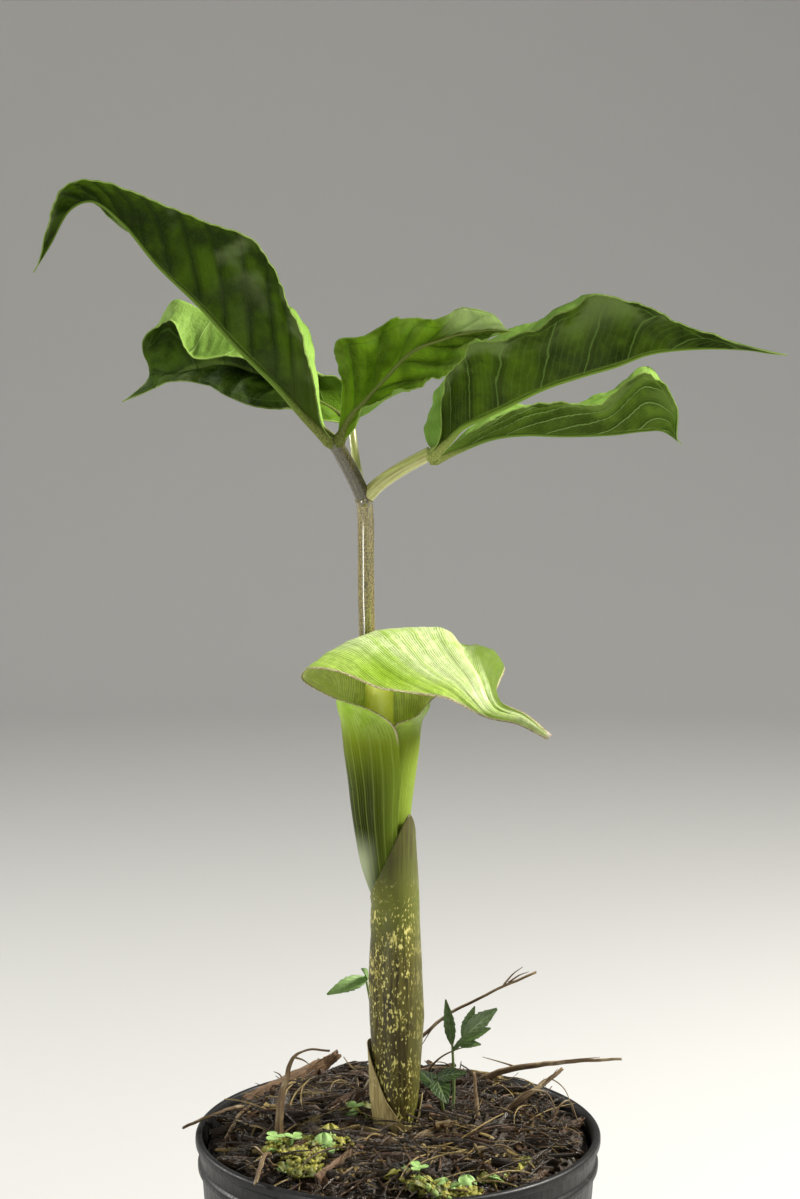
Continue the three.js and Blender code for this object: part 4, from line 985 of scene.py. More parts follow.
def pseudostem():
    angle = full_turn(SHEATH_SIDES)
    seam = 0.25 * np.exp(-(turn_between(angle, -1.15) / 0.06) ** 2)
    heights = np.linspace(STEM_FOOT, CUP_FLOOR, STEM_RINGS)
    stem = [stem_point(z, angle, seam * smoothstep(150, 170, z)) for z in heights]
    top = cup_top(angle)
    lean = CUP_LEAN * (1.0 - smoothstep(2.0, 14.0, top - CUP_LOW_EDGE))

    def cup_ring(rise, stand):
        return stem_point(mix(CUP_FLOOR, top, rise), angle, stand - lean * rise ** 2)

    rises = evenly(CUP_RINGS)[1:]
    outer = [cup_ring(rise, 0.1 * rise ** 6) for rise in rises]
    inner = [cup_ring(rise, -CUP_WALL * (1.0 - 0.5 * rise ** 4)) for rise in rises[::-1]]
    rings = np.array(stem + outer + inner)
    levels, sides = rings.shape[:2]
    wave = waves(rings, 0.11, STEM_SEED) * 0.22 + waves(rings * (1, 1, 0.3), 0.5, STEM_SEED + 1) * 0.07
    radial = unit(rings - rings.mean(axis=1, keepdims=True))
    rings = rings + radial * wave[..., None]
    batch = Batch()
    batch.add(rings, closed_rings(levels, sides))
    batch.piece("pseudostem_sheath", mottled_finish(), ["pseudostem"], "mottled")


def mottled_finish():
    """Olive brown with small cream flecks in irregular bands, dark streaks between, greener near the top."""
    f = Finish("sheath_mottled")
    here = f.place()
    x, _, height = f.parts(here)
    band = f.noise(f.place(1.0, 0.6), 0.11, 4.0, 0.7)
    grainy = f.noise(f.place(0.45), 1.05, 2.5, 0.55)
    fleck = f.step(f.plus(grainy, f.minus(band, 0.5)), 0.54, 0.68)
    streak = f.noise(f.place(0.07), 0.75, 4.0, 0.65)
    broad = f.noise(f.place(0.6), 0.06, 3.0)
    ground = f.tone(streak, (0.028, 0.021, 0.004), (0.120, 0.105, 0.018), 0.34, 0.66)
    ground = f.cover(ground, (0.040, 0.027, 0.006), f.step(broad, 0.46, 0.62, 0.0, 0.75))
    smooth_side = f.step(x, 3.0, 8.0)
    ground = f.cover(ground, (0.095, 0.092, 0.020), smooth_side, 0.7)
    ground = f.cover(ground, (0.120, 0.138, 0.014), f.step(height, 208.0, 236.0, 0.0, 0.8))
    olive = f.tone(x, (0.046, 0.056, 0.006), (0.095, 0.108, 0.018), -3.0, 7.0)
    ground = f.cover(ground, olive, f.step(height, 238.0, 256.0, 0.0, 0.9))
    fleck = f.times(fleck, f.step(smooth_side, 0.0, 1.0, 0.95, 0.25))
    fleck = f.times(fleck, f.step(height, 250.0, 236.0))
    colour = f.cover(ground, f.tone(grainy, (0.33, 0.29, 0.06), (0.72, 0.66, 0.22), 0.50, 0.68), fleck)
    brown = f.times(f.step(streak, 0.44, 0.56), f.step(height, 238.0, 262.0, 0.0, 0.7))
    colour = f.cover(colour, (0.052, 0.038, 0.010), brown)
    colour = f.cover(colour, (0.075, 0.066, 0.018), f.step(height, 264.0, 271.5, 0.0, 0.8))
    relief = f.plus(streak, f.times(grainy, 0.3))
    roughness = f.step(band, 0.3, 0.7, 0.50, 0.36)
    return f.done(f.surface(colour, roughness, f.bump(relief, 0.30, 0.7), Specular_IOR_Level=0.25))


pseudostem()


def basal_sheath():
    angle = full_turn(SHEATH_SIDES)
    top = basal_top(angle) + 0.6 * np.sin(angle * 7.0 + 1.0) * np.sin(angle * 3.0)
    rises = evenly(BASAL_RINGS)
    outer = [stem_point(mix(BASAL_FOOT, top, rise), angle, 1.3 + 0.5 * rise ** 5) for rise in rises]
    inner = [stem_point(mix(BASAL_FOOT, top, rise), angle, 0.7 + 0.7 * rise ** 5) for rise in rises[::-1]]
    rings = np.array(outer + inner)
    radial = unit(rings - rings.mean(axis=1, keepdims=True))
    crease = waves(rings * (1.0, 1.0, 0.08), 0.9, BASAL_SEED) * 0.2
    points, faces = closed_loft(rings + radial * crease[..., None])
    add_piece("basal_sheath_scale", points, faces, papery_finish(), ["basal_sheath"])


def papery_finish():
    """Khaki and papery, with fine lines along it and a few small pale dots."""
    f = Finish("sheath_papery")
    lines = f.noise(f.place(0.06), 0.9, 3.0, 0.6)
    here = f.place()
    dots = f.step(f.cells(here, 0.32), 0.22, 0.12)
    colour = f.tone(lines, (0.21, 0.155, 0.050), (0.37, 0.30, 0.12), 0.35, 0.68)
    colour = f.cover(colour, (0.13, 0.10, 0.035), f.step(f.noise(here, 0.12, 3.0), 0.55, 0.7, 0.0, 0.5))
    colour = f.cover(colour, (0.48, 0.42, 0.22), dots, 0.6)
    return f.done(f.surface(colour, 0.62, f.bump(lines, 0.3, 0.7)))


basal_sheath()


# Petiole: the leaf stalk, its fork, two branches and the stalk of the rear leaflet

FORK = (-13.5, 18, 396)
PETIOLE_ROUTE = [
    (-1.2, 7.2, 224), (-2.5, 9.4, 237), (-4.5, 12.9, 251), (-8, 18.5, 275), (-10.5, 23, 300),
    (-12, 26.5, 320), (-12.5, 27, 336), (-13, 25, 362), (-13, 21, 387), FORK,
]
LEFT_BRANCH = [FORK, (-17, 15.5, 404), (-21, 12.8, 412), (-25.6, 9.8, 420.6)]
RIGHT_BRANCH = [FORK, (-8, 16.5, 402), (2, 14.5, 409), (13.2, 13.2, 415.2)]
REAR_BRANCH = [FORK, (-16, 22, 406), (-17.8, 26.5, 417), (-18.8, 31, 426)]

PETIOLE_SIDES = 28
PETIOLE_ROWS = 120
BRANCH_ROWS = 30
KNOT_RADIUS = 3.75


def petiole():
    batch = Batch()

    def grain(run, angle):
        lines = 0.010 * np.sin(angle * 9.0 + 4.0 * np.sin(run * 9.0))
        return lines + 0.03 * np.sin(run * 60.0 + angle * 2.0)

    def stalk(route, start, end, rows, mark):
        t = evenly(rows)
        add_tube(batch, curve(route, t), mix(start, end, t), PETIOLE_SIDES, relief=grain, branch=mark)

    stalk(PETIOLE_ROUTE, 3.5, 3.3, PETIOLE_ROWS, 0.0)
    stalk(LEFT_BRANCH, 3.3, 3.0, BRANCH_ROWS, 1.0)
    stalk(RIGHT_BRANCH, 3.1, 2.75, BRANCH_ROWS, 2.0)
    stalk(REAR_BRANCH, 2.0, 1.4, BRANCH_ROWS, 3.0)
    knot = FORK + UP * np.linspace(-3.6, 3.6, 16)[:, None]
    width = KNOT_RADIUS * rounded(np.linspace(-0.96, 0.96, 16), 0.01)
    add_tube(batch, knot, width, PETIOLE_SIDES, branch=0.5)
    batch.piece("petiole_stalk", petiole_finish(), ["petiole"], "petiole")


def petiole_finish():
    """Olive brown with a fine dark speckle. The right branch is pale yellow green with thin lines."""
    f = Finish("petiole_olive")
    branch = f.mark("branch")
    speckle = f.noise(f.place(0.6), 1.9, 3.0, 0.7)
    thread = f.noise(f.grain(0.05), 1.5, 3.0, 0.6)
    olive = f.tone(speckle, (0.085, 0.062, 0.014), (0.34, 0.275, 0.080), 0.42, 0.58)
    olive = f.cover(olive, (0.36, 0.34, 0.13), f.step(thread, 0.45, 0.7, 0.0, 0.5))
    dark = f.tone(speckle, (0.022, 0.018, 0.004), (0.095, 0.080, 0.018), 0.38, 0.64)
    pale = f.tone(thread, (0.35, 0.31, 0.09), (0.50, 0.54, 0.17), 0.38, 0.60)
    colour = f.cover(olive, dark, f.step(branch, 0.0, 1.0))
    colour = f.cover(colour, pale, f.step(branch, 1.0, 2.0))
    return f.done(f.surface(colour, 0.45, f.bump(speckle, 0.12, 0.5), Specular_IOR_Level=0.2,
                            Coat_Weight=1.0, Coat_Roughness=0.18, Coat_IOR=1.85))


petiole()


# Pot: a thin moulded pot with a rolled rim, ridges below it and six drain holes

POT_SIDES = 168

# Radius and height, up the outside, over the rim and down the inside
POT_OUTLINE = [
    (0, 0), (57, 0), (POT_BASE_RADIUS, 2), (76.6, 112), (79.2, 113.5), (80, 125), (81.6, 126.2),
    (81.6, 128.6), (80.4, 130), (80.6, 135.4), (POT_RIM_RADIUS, 136.4), (POT_RIM_RADIUS, 139),
    (81.7, POT_HEIGHT), (79.9, POT_HEIGHT), (79, 137.6), (78.4, 125), (77.6, 115), (75, 113),
    (57.4, 3), (56.4, 2), (0, 2),
]


def eased(outline, cut):
    """The outline with each inner corner rounded, cut millimetres back from it at the most."""
    outline = np.asarray(outline, float)
    points = [outline[0]]
    for before, corner, after in zip(outline, outline[1:], outline[2:]):
        back = before - corner
        ahead = after - corner
        start = corner + back * min(0.45, cut / np.linalg.norm(back))
        end = corner + ahead * min(0.45, cut / np.linalg.norm(ahead))
        for t in (0.0, 0.33, 0.67, 1.0):
            points.append((1 - t) ** 2 * start + 2 * t * (1 - t) * corner + t * t * end)
    return np.array(points + [outline[-1]])


def pot():
    outline = eased(POT_OUTLINE, 0.6)
    middle = outline[1:-1]
    batch = Batch()
    batch.add(revolved(middle, POT_SIDES), closed_rings(len(middle), POT_SIDES))
    piece = batch.piece("pot_shell", plastic_finish(), ["pot"], "pot")
    holes = Batch()
    for i in range(DRAIN_HOLES):
        turn = 2.0 * np.pi * i / DRAIN_HOLES
        x, y = DRAIN_RING_RADIUS * np.cos(turn), DRAIN_RING_RADIUS * np.sin(turn)
        add_tube(holes, [(x, y, -1.0), (x, y, 1.0), (x, y, 2.8)], DRAIN_HOLE_RADIUS, 40)
    cut_away(piece, np.concatenate(holes.points), holes.faces)


def cut_away(piece, points, faces):
    """Takes a closed shape out of a piece."""
    cutter = link("cutter", new_mesh("cutter", points * MM, faces))
    change = piece.modifiers.new("cut", "BOOLEAN")
    change.operation = "DIFFERENCE"
    change.solver = "EXACT"
    change.object = cutter
    graph = bpy.context.evaluated_depsgraph_get()
    shape = bpy.data.meshes.new_from_object(piece.evaluated_get(graph))
    piece.modifiers.clear()
    piece.data = shape
    bpy.data.objects.remove(cutter)


def plastic_finish():
    """Black moulded plastic, satin, with faint scratches, dust and dried splashes."""
    f = Finish("pot_black")
    here = f.place()
    scratch = f.noise(f.place(0.06), 0.9, 3.0, 0.7)
    dust = f.noise(here, 0.35, 4.0, 0.7)
    splash = f.step(f.cells(here, 0.16), 0.16, 0.10)
    colour = f.tone(dust, (0.0065, 0.0067, 0.0072), (0.028, 0.025, 0.021), 0.5, 0.78)
    colour = f.cover(colour, (0.075, 0.065, 0.05), splash, f.step(dust, 0.5, 0.6, 0.0, 0.7))
    roughness = f.step(scratch, 0.35, 0.7, 0.36, 0.56)
    return f.done(f.surface(colour, roughness, f.bump(scratch, 0.12, 0.5), Specular_IOR_Level=0.35))


pot()


# Bark mulch: a lumpy bed with hundreds of loose chips, fibres and crumbs

BED_BOTTOM = 124.3
BED_RINGS = 70
BED_SIDES = 210
BED_SEED = 51
CHIP_ROWS = 8

# Loose pieces on the bed. Bend is a share of the length, and tones go from dark (0) over red to straw (1).
CHIPS = {"count": 620, "seed": 61, "length": (5.0, 24.0), "width": (2.0, 6.5), "lift": 1.6, "bend": 0.12,
         "sides": 8, "flat": 0.34, "jag": 1.6}
CRUMBS = {"count": 700, "seed": 63, "length": (1.5, 5.0), "width": (1.2, 3.4), "lift": 1.2, "bend": 0.1,
          "sides": 6, "flat": 0.6, "jag": 0.8}
FIBRES = {"count": 900, "seed": 62, "length": (9.0, 42.0), "width": (0.35, 1.1), "lift": 3.0, "bend": 0.5,
          "sides": 5, "flat": 0.7, "jag": 1.0}
GOLDEN_FIBRES = {"count": 130, "seed": 64, "length": (10.0, 34.0), "width": (0.4, 0.9), "lift": 4.0,
                 "bend": 0.6, "sides": 5, "flat": 0.7, "jag": 1.0, "tones": (0.93, 1.0)}


def mulch_height(x, y):
    """Height of the mulch at a place: a mound with broad and fine lumps."""
    reach = np.minimum(1.0, np.hypot(x, y - 8.0) / MULCH_RADIUS)
    mound = MULCH_MOUND * (1.0 - reach ** 5) + 0.035 * y
    broad = np.sin(x * 0.11 + 1.2) * np.cos(y * 0.13 - 0.6)
    fine = np.sin(x * 0.37 - y * 0.22) + np.cos(y * 0.41 + x * 0.17)
    return MULCH_EDGE_TOP + mound + 1.1 * broad + 0.55 * fine


def mulch_bed(batch):
    angle = full_turn(BED_SIDES)
    radii = np.linspace(MULCH_RADIUS, 0.8, BED_RINGS)
    x = radii[:, None] * np.cos(angle)
    y = radii[:, None] * np.sin(angle)
    flat = np.dstack([x, y, 0.0 * x])
    lumps = 0.9 * waves(flat, 0.55, BED_SEED) + 0.6 * waves(flat, 1.4, BED_SEED + 1)
    top = np.dstack([x, y, mulch_height(x, y) + lumps])
    foot = top[:1] * (1, 1, 0) + (0, 0, BED_BOTTOM)
    rings = np.concatenate([foot, top])
    levels, sides = rings.shape[:2]
    batch.add(rings, closed_rings(levels, sides), grain=rings.reshape(-1, 3), tone=0.1)


def on_mulch(rng, margin):
    """A random place on the mulch."""
    radius = math.sqrt(rng.uniform()) * (MULCH_RADIUS - margin)
    angle = rng.uniform(0.0, 2.0 * math.pi)
    x, y = radius * math.cos(angle), radius * math.sin(angle)
    return np.array([x, y, float(mulch_height(x, y))])


def inside_pot(route, margin):
    """The route, with what reaches past the pot's inner wall drawn back to it."""
    reach = np.hypot(route[:, 0], route[:, 1])
    scale = np.minimum(1.0, (MULCH_RADIUS - margin) / np.maximum(reach, 1.0))
    return route * np.stack([scale, scale, np.ones_like(scale)], axis=1)


def scattered(batch, count, seed, length, width, lift, bend, sides, flat, jag, tones=(0.0, 1.0)):
    """Loose pieces on the mulch: random lengths and widths, lying at random angles."""
    rng = np.random.default_rng(seed)
    for _ in range(count):
        long = mix(length[0], length[1], rng.uniform() ** 2.2)
        centre = on_mulch(rng, 2.0 + 0.3 * long)
        ahead, aside = level_turn(rng.uniform(0.0, 2.0 * math.pi))
        slope = rng.normal(0.0, 0.22)
        t = np.linspace(-0.5, 0.5, CHIP_ROWS)
        route = centre + (ahead + UP * slope) * (t * long)[:, None]
        route += aside * (bend * long * rng.uniform(-1, 1) * (0.25 - t ** 2))[:, None]
        route[:, 2] += lift * rng.uniform(-0.3, 1.0) + bend * long * rng.uniform(-0.2, 1.0) * (0.25 - t ** 2)
        route = inside_pot(route, 1.2)
        ground = mulch_height(route[:, 0], route[:, 1])
        route[:, 2] = np.maximum(route[:, 2], ground - 1.5)
        half = 0.5 * mix(width[0], width[1], rng.uniform() ** 1.5)
        taper = 0.6 + 0.4 * np.sin(np.pi * (t + 0.5)) + rng.uniform(-0.12, 0.12, len(t))
        add_tube(batch, route, half * taper, sides, flat, None, jag * half, rng, tone=rng.uniform(*tones))


def mulch():
    bark = bark_finish()
    bed = Batch()
    mulch_bed(bed)
    scattered(bed, **CHIPS)
    scattered(bed, **CRUMBS)
    bed.piece("mulch_bed", bark, ["bark_mulch"], "bark", smooth=False)
    strands = Batch()
    scattered(strands, **FIBRES)
    scattered(strands, **GOLDEN_FIBRES)
    strands.piece("mulch_fibres", bark, ["bark_mulch"], "bark", smooth=False)


def bark_finish():
    """Dark wet bark: brown to reddish brown, grain along each chip, glossy where it is wet."""
    f = Finish("bark_wet")
    tone = f.mark("tone")
    fibre = f.noise(f.grain(0.12), 1.6, 4.0, 0.65)
    here = f.place()
    wet = f.noise(here, 0.10, 3.0)
    brown = f.tone(fibre, (0.006, 0.004, 0.002), (0.048, 0.028, 0.012), 0.35, 0.68)
    red = f.tone(fibre, (0.022, 0.011, 0.004), (0.110, 0.054, 0.020), 0.35, 0.68)
    straw = f.tone(fibre, (0.15, 0.10, 0.035), (0.40, 0.30, 0.11), 0.35, 0.68)
    colour = f.cover(brown, red, f.step(tone, 0.55, 0.75))
    colour = f.cover(colour, straw, f.step(tone, 0.90, 0.95))
    relief = f.plus(fibre, f.times(f.noise(here, 2.0, 3.0), 0.6))
    roughness = f.step(wet, 0.38, 0.58, 0.62, 0.16)
    return f.done(f.surface(colour, roughness, f.bump(relief, 0.5, 0.9)))


mulch()


# Dry pieces that stand out: strips and splinters of bark and wood, twigs and straws

def tapered(start, end):
    return lambda t: mix(start, end, t)


# Node, finish, points, radius along it, and how flat it is
DRY_PIECES = [
    ("red_bark_strip", "red", [(-64, 37, 138), (-48, 49, 142.5), (-33, 60, 147), (-27, 61, 151)],
     lambda t: mix(4.4, 2.6, t) * (0.8 + 0.2 * np.sin(np.pi * t)), 0.26),
    ("bark_stub", "red", [(19.5, -3, 138), (15.5, 6, 142), (11.5, 13.5, 145.5)], tapered(2.9, 2.0), 0.55),
    ("front_strip", "red", [(-31, -53, 138.5), (-22, -39, 141), (-13, -24, 142.5)], tapered(2.2, 1.5), 0.45),
    ("hooked_stem", "dry",
     [(-48, -17, 133), (-47, -16.5, 156), (-45, -13, 165), (-42, -9, 173), (-37, -8, 175.5), (-28, -7, 175)],
     lambda t: mix(2.0, 0.45, np.minimum(1.0, t * 1.35)), 0.5),
    ("long_splinter", "dry", [(30, 50, 140.5), (44, 50, 147.5), (69, 50, 151.5), (95, 50, 153)],
     tapered(1.9, 0.6), 0.45),
    ("diagonal_splinter", "dry", [(38, 14, 137), (50, 12.5, 147.5), (61, 16, 154), (68, 20, 158.5)],
     tapered(1.7, 0.8), 0.5),
    ("upright_splinter", "dry", [(33.5, 5, 134), (32.5, 5, 145), (31, 7, 161)], tapered(1.4, 0.6), 0.5),
    ("forked_twig", "dry",
     [(-19, 31, 136), (-10, 31, 152), (1, 30, 162), (11, 30, 170), (20, 30, 178), (34, 30, 186),
      (57, 30, 197)],
     tapered(1.0, 0.5), 1.0),
    ("rim_strip", "dry", [(-51, -32, 139), (-52, -42, 144.2), (-53.5, -56, 143.6), (-54.5, -66, 141.8)],
     tapered(1.6, 1.1), 0.5),
    ("left_twig", "dry", [(-59, 29, 138.5), (-66, 20, 142), (-77, 8, 142.6), (-87, -4, 141.8)],
     tapered(0.9, 0.6), 1.0),
    ("pale_straw", "dry", [(-70, -9, 137.5), (-66, 8, 142), (-62, 23, 141.5)], tapered(0.8, 0.6), 1.0),
]

# Thin shoots and torn slivers that leave a dry piece
SLIVERS = {
    "forked_twig": [
        [(46, 30, 192.5), (50.5, 29, 196), (54.5, 28, 197.8)],
        [(44, 30, 191.5), (48, 31, 196), (52, 31, 199)],
        [(17, 30, 176), (14, 28, 173), (9, 27, 165)],
    ],
    "red_bark_strip": [
        [(-40, 55, 145), (-35, 57, 149), (-30, 58, 152)],
        [(-56, 43, 140), (-50, 45, 143), (-44, 48, 145)],
    ],
    "hooked_stem": [
        [(-42, -9, 173), (-38, -10, 172), (-35, -11, 170)],
        [(-45.5, -14, 163), (-47.5, -13, 167), (-50, -12, 168)],
    ],
    "long_splinter": [
        [(60, 50, 150.5), (74, 49, 153), (86, 48, 154.5)],
        [(52, 50, 149), (44, 52, 151), (36, 53, 153)],
    ],
    "diagonal_splinter": [[(58, 15, 152), (63, 15, 156.5), (66, 16, 160)]],
}

# The slot of each dry finish
SLOTS = {"red": "red_bark", "dry": "dry_stem"}

DRY_SEED = 300
DRY_ROWS = 56
DRY_SIDES = 14
SLIVER_ROWS = 16
THIN_SIDES = 8


def dry_piece(name, finish, points, radius_at, flat, seed):
    rng = np.random.default_rng(seed)
    batch = Batch()
    t = evenly(DRY_ROWS)
    radius = radius_at(t)
    turn = rng.uniform(0.0, ANY_TURN)

    def relief(run, angle):
        groove = np.sin(angle * 5.0 + turn + run * 4.0) * 0.5 + np.sin(angle * 3.0 - run * 9.0 + turn) * 0.5
        notch = np.sin(run * 47.0 + turn) * np.sin(run * 18.0 + angle)
        return (0.10 * groove + 0.08 * notch) * np.interp(run, t, radius)

    route = curve(points, t)
    route = route + 0.25 * np.stack([waves(route, 0.35, seed + k) for k in range(3)], axis=1)
    jag = 1.2 * float(radius[-1])
    add_tube(batch, route, radius, DRY_SIDES, flat, relief, jag, rng, tone=rng.uniform(0.3, 0.9))
    t = evenly(SLIVER_ROWS)
    thin = mix(0.5, 0.12, t) * max(1.0, 0.4 * float(radius[0]))
    for sliver in SLIVERS.get(name, []):
        add_tube(batch, curve(sliver, t), thin, THIN_SIDES, 0.6, tone=rng.uniform(0.3, 0.9))
    batch.piece(name + "_dry", DRY_FINISHES[finish], [name], SLOTS[finish])


def dry_finish(name, dark, light, bleached):
    f = Finish(name)
    tone = f.mark("tone")
    fibre = f.noise(f.grain(0.07), 2.2, 4.0, 0.65)
    patch = f.noise(f.place(), 0.13, 3.0)
    colour = f.tone(fibre, dark, light, 0.34, 0.68)
    colour = f.cover(colour, bleached, f.step(patch, 0.5, 0.7, 0.0, 0.7))
    colour = f.cover(colour, dark, tone, f.step(patch, 0.5, 0.3, 0.0, 0.5))
    return f.done(f.surface(colour, f.step(patch, 0.35, 0.65, 0.75, 0.5), f.bump(fibre, 0.4, 0.8)))


DRY_FINISHES = {
    "red": dry_finish("bark_red", (0.060, 0.031, 0.013), (0.22, 0.125, 0.058), (0.31, 0.21, 0.12)),
    "dry": dry_finish("stem_dry", (0.075, 0.042, 0.018), (0.25, 0.165, 0.075), (0.42, 0.34, 0.20)),
}

for seed, piece in enumerate(DRY_PIECES):
    dry_piece(*piece, seed=DRY_SEED + 10 * seed)


# Thin straws and one short twig, among the mulch

STRAW_SEED = 401
STRAW_ROWS = 40
STRAWS = [
    [(42, 10, 139), (47, 10, 147), (54, 11, 152), (61, 12, 151), (66, 12, 142)],
    [(50, 14, 139), (56, 15, 151), (62, 18, 155), (69, 20, 150), (73, 20, 139)],
    [(62, 4, 138), (66, 6, 147), (70, 8, 149), (74, 9, 140)],
    [(44, -8, 138), (52, -10, 143), (60, -14, 142), (66, -18, 138)],
    [(52, -22, 138), (58, -18, 141), (66, -13, 140)],
    [(30, -30, 139), (41, -28, 143), (50, -30, 138)],
    [(8, -34, 139), (16, -30, 142), (27, -30, 139)],
    [(-24, -52, 138), (-14, -46, 142), (-4, -44, 139)],
    [(-60, -18, 136), (-57, -27, 142), (-52, -36, 141), (-47, -42, 138)],
    [(-8, 44, 141), (4, 46, 148), (17, 48, 150), (29, 50, 148)],
    [(2, 22, 142), (10.4, 30, 152), (17.5, 30, 160), (24, 30, 163.5), (29.7, 30, 165.2)],
]


def straws():
    rng = np.random.default_rng(STRAW_SEED)
    batch = Batch()
    for points in STRAWS:
        t = evenly(STRAW_ROWS)
        start = rng.uniform(0.45, 0.8)
        radius = mix(start, 0.3 * start, t)
        add_tube(batch, curve(points, t), radius, THIN_SIDES, 0.6, jag=0.3, rng=rng, tone=rng.uniform())
    batch.piece("mulch_straws", DRY_FINISHES["dry"], (), "dry_stem")


straws()


# Moss: low cushions of small buds and crinkled leaves, with seed leaves of weeds on short stalks

# Node, cushions as x, y and radius, and the places of the seed leaves
MOSS_PATCHES = [
    ("moss_left", [(-37, -33, 9), (-27, -24, 8), (-46, -26, 7), (-36, -44, 7)], [(-49, -25), (-41, -28)]),
    ("moss_front", [(8, -56, 6), (16, -60, 6), (26, -59, 5), (38, -48, 3.5), (-3, -50, 3.5), (50, -36, 3)],
     [(8, -55)]),
    ("moss_foot", [(-16, 2, 4.5), (-20, 9, 5)], [(-18, 5)]),
]
BUD_LEVELS = 6
BUD_SIDES = 8
CRINKLE_ROWS = 11
CRINKLE_HALF = 0.12
SEED_LEAF_ROWS = 14
SEED_LEAF_COLUMNS = 13
SEED_LEAF_HALF = 0.16
SEEDLING_HEIGHT = 7.0
SEEDLING_ROWS = 10
SEEDLING_LEAVES = 3
SEEDLING_LEAF_TURN = 2.1
MOSS_SEED = 500


def blob(centre, size, rng):
    """A small rounded bud, a little uneven."""
    lat = np.linspace(0.12, np.pi - 0.12, BUD_LEVELS)[:, None]
    lon = full_turn(BUD_SIDES)[None, :]
    ball = np.dstack([np.sin(lat) * np.cos(lon), np.sin(lat) * np.sin(lon), np.cos(lat) + 0.0 * lon])
    uneven = 1.0 + 0.25 * rng.uniform(-1, 1, ball.shape[:2])
    points = centre + ball * uneven[..., None] * size
    return points.reshape(-1, 3), [face[::-1] for face in closed_rings(BUD_LEVELS, BUD_SIDES)]


def crinkle(centre, size, rng):
    """A small crinkled leaf that stands up from the cushion."""
    u = evenly(CRINKLE_ROWS)
    v = evenly(CRINKLE_ROWS, -1.0)
    yaw = rng.uniform(0.0, ANY_TURN)
    lean = rng.uniform(0.3, 1.2)
    ahead, aside = level_turn(yaw)
    forward = ahead * math.cos(lean) + UP * math.sin(lean)
    half = 0.62 * size * rounded(2.0 * u - 1.0, 0.03)
    ripple = 0.16 * np.sin(2.0 * np.pi * v + yaw) * u[:, None]
    curl = (0.35 * u[:, None] ** 2 + ripple + 0.25 * v ** 2) * size
    middle = flat_blade(centre, forward * size, aside, u, v, half)
    middle = middle - np.cross(forward, aside) * curl[..., None]
    return thin_sheet(middle, CRINKLE_HALF, CRINKLE_HALF)


def seed_leaf(batch, base, yaw, size, lift):
    """A round leaf, slightly cupped, that starts at base."""
    u = evenly(SEED_LEAF_ROWS)
    v = evenly(SEED_LEAF_COLUMNS, -1.0)
    ahead, aside = level_turn(yaw)
    half = 0.5 * size * rounded(2.0 * u - 1.0, 0.004) * (0.8 + 0.25 * u)
    middle = flat_blade(base, (ahead + UP * lift) * size, aside, u, v, half)
    middle[..., 2] += (0.10 * v ** 2 + 0.05 * np.sin(3.1 * u)[:, None]) * size
    batch.add(*thin_sheet(middle, SEED_LEAF_HALF, SEED_LEAF_HALF), tone=0.92)


def around(x, y, z, reach, turn):
    """A place at a distance and direction from x and y."""
    return np.array([x + reach * math.cos(turn), y + reach * math.sin(turn), z])


def cushion(batch, x, y, radius, rng):
    """A low dome of buds and small leaves, with larger leaves that stand out of it."""
    top = float(mulch_height(x, y))
    shade = rng.uniform(0.15, 0.75)
    for _ in range(int(1.5 * radius ** 2)):
        reach = math.sqrt(rng.uniform()) * radius * 1.05
        turn = rng.uniform(0.0, ANY_TURN)
        dome = 0.42 * radius * math.sqrt(max(0.0, 1.0 - (reach / (radius * 1.1)) ** 2))
        centre = around(x, y, top + dome, reach, turn)
        tone = float(np.clip(shade + rng.normal(0.0, 0.16), 0.0, 0.85))
        if rng.uniform() < 0.72:
            batch.add(*blob(centre, mix(0.5, 2.0, rng.uniform() ** 2), rng), tone=tone)
        else:
            batch.add(*crinkle(centre, rng.uniform(1.6, 3.4), rng), tone=tone)
    for _ in range(int(1.5 * radius)):
        reach = math.sqrt(rng.uniform()) * radius
        centre = around(x, y, top + 0.2 * radius, reach, rng.uniform(0.0, ANY_TURN))
        batch.add(*crinkle(centre, rng.uniform(3.2, 6.8), rng), tone=rng.choice([0.1, 0.5, 0.65, 0.95]))


def seedling(batch, x, y, yaw, rng):
    """A thin stalk with round leaves on top."""
    foot = np.array([x, y, float(mulch_height(x, y))])
    tip = foot + UP * SEEDLING_HEIGHT
    stem = curve([foot, foot + (0.3, 0.0, 4.0), tip], evenly(SEEDLING_ROWS))
    points, faces, _ = tube(stem, 0.35, THIN_SIDES)
    batch.add(points, faces, tone=0.9)
    for k in range(SEEDLING_LEAVES):
        size, lift = rng.uniform(3.6, 4.6), rng.uniform(0.05, 0.35)
        seed_leaf(batch, tip - UP * 0.3, yaw + k * SEEDLING_LEAF_TURN, size, lift)


def moss_patch(name, cushions, seedlings, seed):
    rng = np.random.default_rng(seed)
    batch = Batch()
    for x, y, radius in cushions:
        cushion(batch, x, y, radius, rng)
    for i, (x, y) in enumerate(seedlings):
        seedling(batch, x, y, 1.1 * i, rng)
    batch.piece(name + "_cushions", moss_finish(), [name], "moss")


def moss_finish():
    f = Finish("moss_yellow")
    tone = f.mark("tone")
    here = f.place()
    speck = f.noise(here, 1.1, 3.0)
    olive = f.tone(speck, (0.085, 0.095, 0.012), (0.20, 0.21, 0.03))
    yellow = f.tone(speck, (0.26, 0.25, 0.030), (0.47, 0.44, 0.080))
    mint = f.tone(speck, (0.27, 0.47, 0.12), (0.42, 0.62, 0.22))
    colour = f.cover(olive, yellow, f.step(tone, 0.2, 0.55))
    colour = f.cover(colour, mint, f.step(tone, 0.80, 0.88))
    surface = f.surface(colour, 0.55, f.bump(speck, 0.2, 0.6))
    return f.done(f.glow_through(surface, colour, 0.2))


